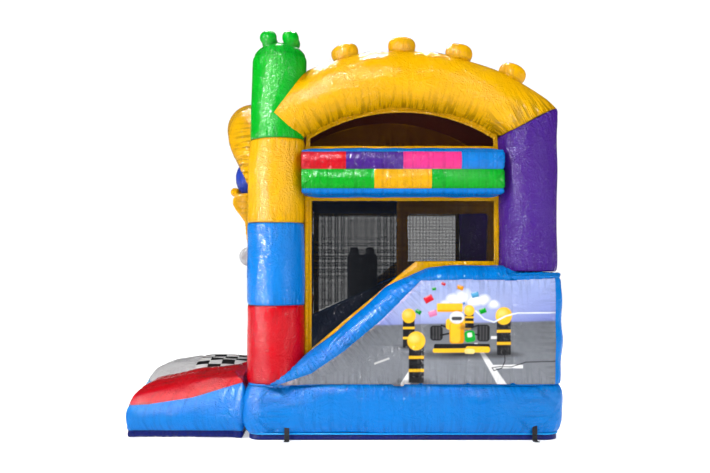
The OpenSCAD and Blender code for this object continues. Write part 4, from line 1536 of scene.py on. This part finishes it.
pad_seams = [
    on_face(
        lambda co: (np.abs(pad_line(co)), co[:, 0] + co[:, 1]),
        lambda co: np.abs(co[:, 0] - 0.925) > 0.6
    ),
    lambda co: (np.abs(co[:, 2] - 0.07), co[:, 0] + co[:, 1])
]
pad_seams += [
    on_face(lambda co, x=x: (np.abs(co[:, 0] - x), co[:, 1]), lambda co: co[:, 2] > 0.3)
    for x in (0.58, 0.93, 1.28)
]
gather(
    pad, pad_seams, 141, depth=0.007, width=0.014, fold=0.009, reach=0.12, pitch=0.07, swell=0.007,
    span=0.35, puff=0.012, roll=0.10
)
co = points_of(pad)
zone(
    pad, "pad_top", np.maximum.reduce([pad_line(co), -2.82 - co[:, 1], 0.64 - np.abs(co[:, 0] - 0.925)])
)
zone(pad, "pad_foot", 0.075 - co[:, 2])
pad.data.materials.append(
    vinyl("landing_pad_vinyl", BLUE, zones=[("pad_top", RED), ("pad_foot", NAVY)])
)
fit(smooth(pad), "landing_pad", inflated=1.0)

# ---------------------------------------------------------------- entrance step
# A fat grey cushion in front of the way in, with a black and white checked band next to the
# castle and light blue sides.
STEP_SIDE = (
    (-1.606, 0.012), (-1.606, 0.490), (-2.08, 0.520), (-2.50, 0.508), (-2.78, 0.462), (-2.96, 0.400),
    (-3.035, 0.33), (-3.060, 0.26), (-3.060, 0.12), (-3.035, 0.012)
)
step_pad = draw_out(
    cut_panel("entrance_step_air", [(-1.58, y, z) for y, z in STEP_SIDE]), (1.46, 0, 0), 1
)
melt(step_pad, 0.02, 8)
inflate(step_pad, 2, 0.03)
co = points_of(step_pad)
off = np.clip(np.abs(co[:, 0] + 0.85) / 0.75, 0, 1)
high = np.clip((co[:, 2] - 0.26) / 0.25, 0, 1)
co[:, 2] -= 0.15 * off**3 * high
co[:, 1] = np.clip(co[:, 1], -3.10, -1.600)
move_points(step_pad, co)
step_seams = [
    on_face(lambda co: (np.abs(co[:, 2] - 0.33), co[:, 1]), lambda co: np.abs(co[:, 0] + 0.85) > 0.5),
    lambda co: (np.abs(co[:, 1] + 2.44), co[:, 0]),
    lambda co: (np.abs(co[:, 2] - 0.07), co[:, 0] + co[:, 1])
]
gather(
    step_pad, step_seams, 151, depth=0.007, width=0.014, fold=0.009, reach=0.13, pitch=0.08,
    swell=0.007, span=0.4, puff=0.012, roll=0.10
)
co = points_of(step_pad)
CHECK = 0.16
chess = np.sin(np.pi * (co[:, 0] + 0.05) / CHECK) * np.sin(np.pi * (co[:, 1] + 1.64) / CHECK)
zone(step_pad, "checked_band", co[:, 1] + 2.44)
zone(step_pad, "black_check", np.where(co[:, 1] > -2.44, chess, -1))
zone(step_pad, "step_side", 0.33 - co[:, 2])
zone(step_pad, "step_foot", 0.075 - co[:, 2])
step_vinyl = vinyl(
    "entrance_step_vinyl", (0.50, 0.50, 0.51),
    zones=[
        ("checked_band", (0.66, 0.66, 0.66)), ("black_check", (0.012, 0.012, 0.014)),
        ("step_side", (0.16, 0.42, 0.66)), ("step_foot", NAVY)
    ]
)
step_pad.data.materials.append(step_vinyl)
fit(smooth(step_pad), "entrance_step", inflated=1.0)

# ---------------------------------------------------------------- front post and raised toy
# A blue post parts the way in from the slide's way out. A padded toy kart hangs on it, nose
# up, with a round blue cushion over it and two grey wheels at its foot.
front_post = turned(
    "front_post_air", swollen_rings(0.139, 0.0, 2.64, pinch=0.0, swell=0.002, pitch=0.03), 64
)
front_post.data.transform(
    Matrix.Translation((0, -1.4237, 0.52)) @ Matrix.Rotation(math.radians(4.85), 4, "X")
)
slice_off(front_post, (0, 0, 0.562), (0, 0, -1))
gather(
    front_post, [seam_at_height(0.57, 0.14), seam_at_height(3.02, 0.14)], 161, depth=0.005, fold=0.006,
    reach=0.15, pitch=0.06
)
front_post.data.materials.append(blue_vinyl)
fit(smooth(front_post), "front_post", inflated=1.0)

boss = turned(
    "round_cushion",
    [
        (0.205, 0.0), (0.216, 0.04), (0.213, 0.075), (0.195, 0.108), (0.160, 0.140), (0.115, 0.165),
        (0.060, 0.183), (0.006, 0.188)
    ],
    64
)
boss.data.transform(Matrix.Translation((0, -1.70, 2.79)) @ Matrix.Rotation(math.pi / 2, 4, "X"))
kart = draw_out(
    cut_panel(
        "kart_body",
        [
            (-0.225, y, z)
            for y, z in (
                (-1.64, 1.90), (-1.70, 1.885), (-1.735, 2.00), (-1.76, 2.26), (-1.81, 2.33),
                (-1.87, 2.40), (-1.905, 2.47), (-1.90, 2.54), (-1.84, 2.595), (-1.69, 2.605)
            )
        ]
    ),
    (0.45, 0, 0), 1
)
kart = join(kart, *[ball((x, -1.89, 2.62), 0.054) for x in (-0.12, 0.0, 0.12)])
melt(kart, 0.012, 5)
violet_vinyl = vinyl("violet_blue_vinyl", (0.015, 0.045, 0.36))
for piece, seed, skin in ((boss, 162, violet_vinyl), (kart, 163, yellow_vinyl)):
    gather(
        piece, [lambda co: (np.abs(co[:, 1] + 1.72), co[:, 0] + co[:, 2])], seed, depth=0.006,
        fold=0.005, reach=0.08, pitch=0.05, swell=0.003, span=0.2
    )
    piece.data.materials.append(skin)
toy = join(kart, boss)
toy.name = "front_ornament_air"
fit(smooth(toy), "front_ornament", inflated=1.0)
pale_vinyl = vinyl("pale_grey_vinyl", (0.42, 0.42, 0.44))
wheels = []
for x in (-0.31, 0.23):
    wheel = turned(
        "wheel",
        [
            (0.03, 0.006), (0.045, 0.0), (0.085, 0.0), (0.102, 0.012), (0.109, 0.030), (0.109, 0.05),
            (0.102, 0.068), (0.085, 0.080), (0.045, 0.080), (0.03, 0.074)
        ],
        48
    )
    wheel.data.transform(Matrix.Translation((x, -1.71, 1.85)) @ Matrix.Rotation(math.pi / 2, 4, "Y"))
    wheels.append(wheel)
wheels = join(*wheels)
wheels.name = "ornament_wheels_air"
wheels.data.materials.append(pale_vinyl)
apply(wheels, "SUBSURF", levels=1, render_levels=1)
fit(smooth(wheels), "ornament_wheels", inflated=1.0)

# ---------------------------------------------------------------- anchors, zip and blower
# Black webbing tabs hold steel D rings at the foot of the castle. The deflation zip is on the
# back. The blower stands at the far rear corner and feeds the castle through its sleeve.
def metal(name, colour, rough):
    finish = bpy.data.materials.new(name)
    finish.use_nodes = True
    tree = finish.node_tree
    shader = tree.nodes["Principled BSDF"]
    shader.inputs["Metallic"].default_value = 1.0
    place = tree.nodes.new("ShaderNodeTexCoord").outputs["Object"]
    scuffs = noise(tree, place, 90).outputs["Fac"]
    shade = tree.nodes.new("ShaderNodeMix")
    shade.data_type = "RGBA"
    shade.inputs["A"].default_value = (*[c * 0.6 for c in colour], 1)
    shade.inputs["B"].default_value = (*colour, 1)
    tree.links.new(scuffs, shade.inputs["Factor"])
    tree.links.new(shade.outputs["Result"], shader.inputs["Base Color"])
    tree.links.new(remapped(tree, scuffs, rough, rough + 0.25), shader.inputs["Roughness"])
    return finish


def moulded(name, colour, rough):
    finish = metal(name, colour, rough)
    finish.node_tree.nodes["Principled BSDF"].inputs["Metallic"].default_value = 0.0
    return finish


sleeve_rings = [(0.128, -2.428), (0.133, -2.42), (0.134, -2.40), (0.134, -2.35)]
sleeve_rings += [
    (0.136 + 0.004 * math.sin(math.pi * k / 24), -2.34 + 0.585 * k / 24) for k in range(1, 25)
]
sleeve = turned("air_sleeve", sleeve_rings, 96)
sleeve.data.transform(Matrix.Translation((0, 1.0, 0.23)) @ Matrix.Rotation(math.pi / 2, 4, "Y"))


def round_the_sleeve(x):
    return lambda co: (np.abs(co[:, 0] - x), 0.14 * np.arctan2(co[:, 1] - 1.0, co[:, 2] - 0.23))


gather(
    sleeve, [round_the_sleeve(-2.375), round_the_sleeve(-1.755)], 171, depth=0.0, fold=0.007,
    reach=0.22, pitch=0.035, swell=0.002, span=0.2
)
sleeve.data.materials.append(blue_vinyl)
fit(smooth(sleeve), "inflation_sleeve", inflated=1.0)

steel = metal("galvanised_steel", (0.62, 0.63, 0.65), 0.28)
webbing = vinyl("black_webbing", (0.012, 0.012, 0.014), crease=60, gloss=0.6)
FINISHES = {
    "anchor_tabs": webbing,
    "sleeve_strap": webbing,
    "zip_tape": webbing,
    "zip_slider": steel,
    "blower_housing": moulded("orange_plastic", (0.78, 0.17, 0.01), 0.42),
    "blower_motor": moulded("black_enamel", (0.02, 0.02, 0.022), 0.35),
    "blower_impeller": moulded("grey_plastic", (0.25, 0.26, 0.28), 0.45),
    "blower_switch": moulded("switch_plastic", (0.015, 0.015, 0.015), 0.3),
}
for node in (
    "ring_right_front", "ring_right_rear", "ring_left_front", "ring_left_rear", "ring_back_right",
    "ring_back_left"
):
    FINISHES[node] = steel
for node, finish in FINISHES.items():
    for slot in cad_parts[node].material_slots:
        slot.material = finish
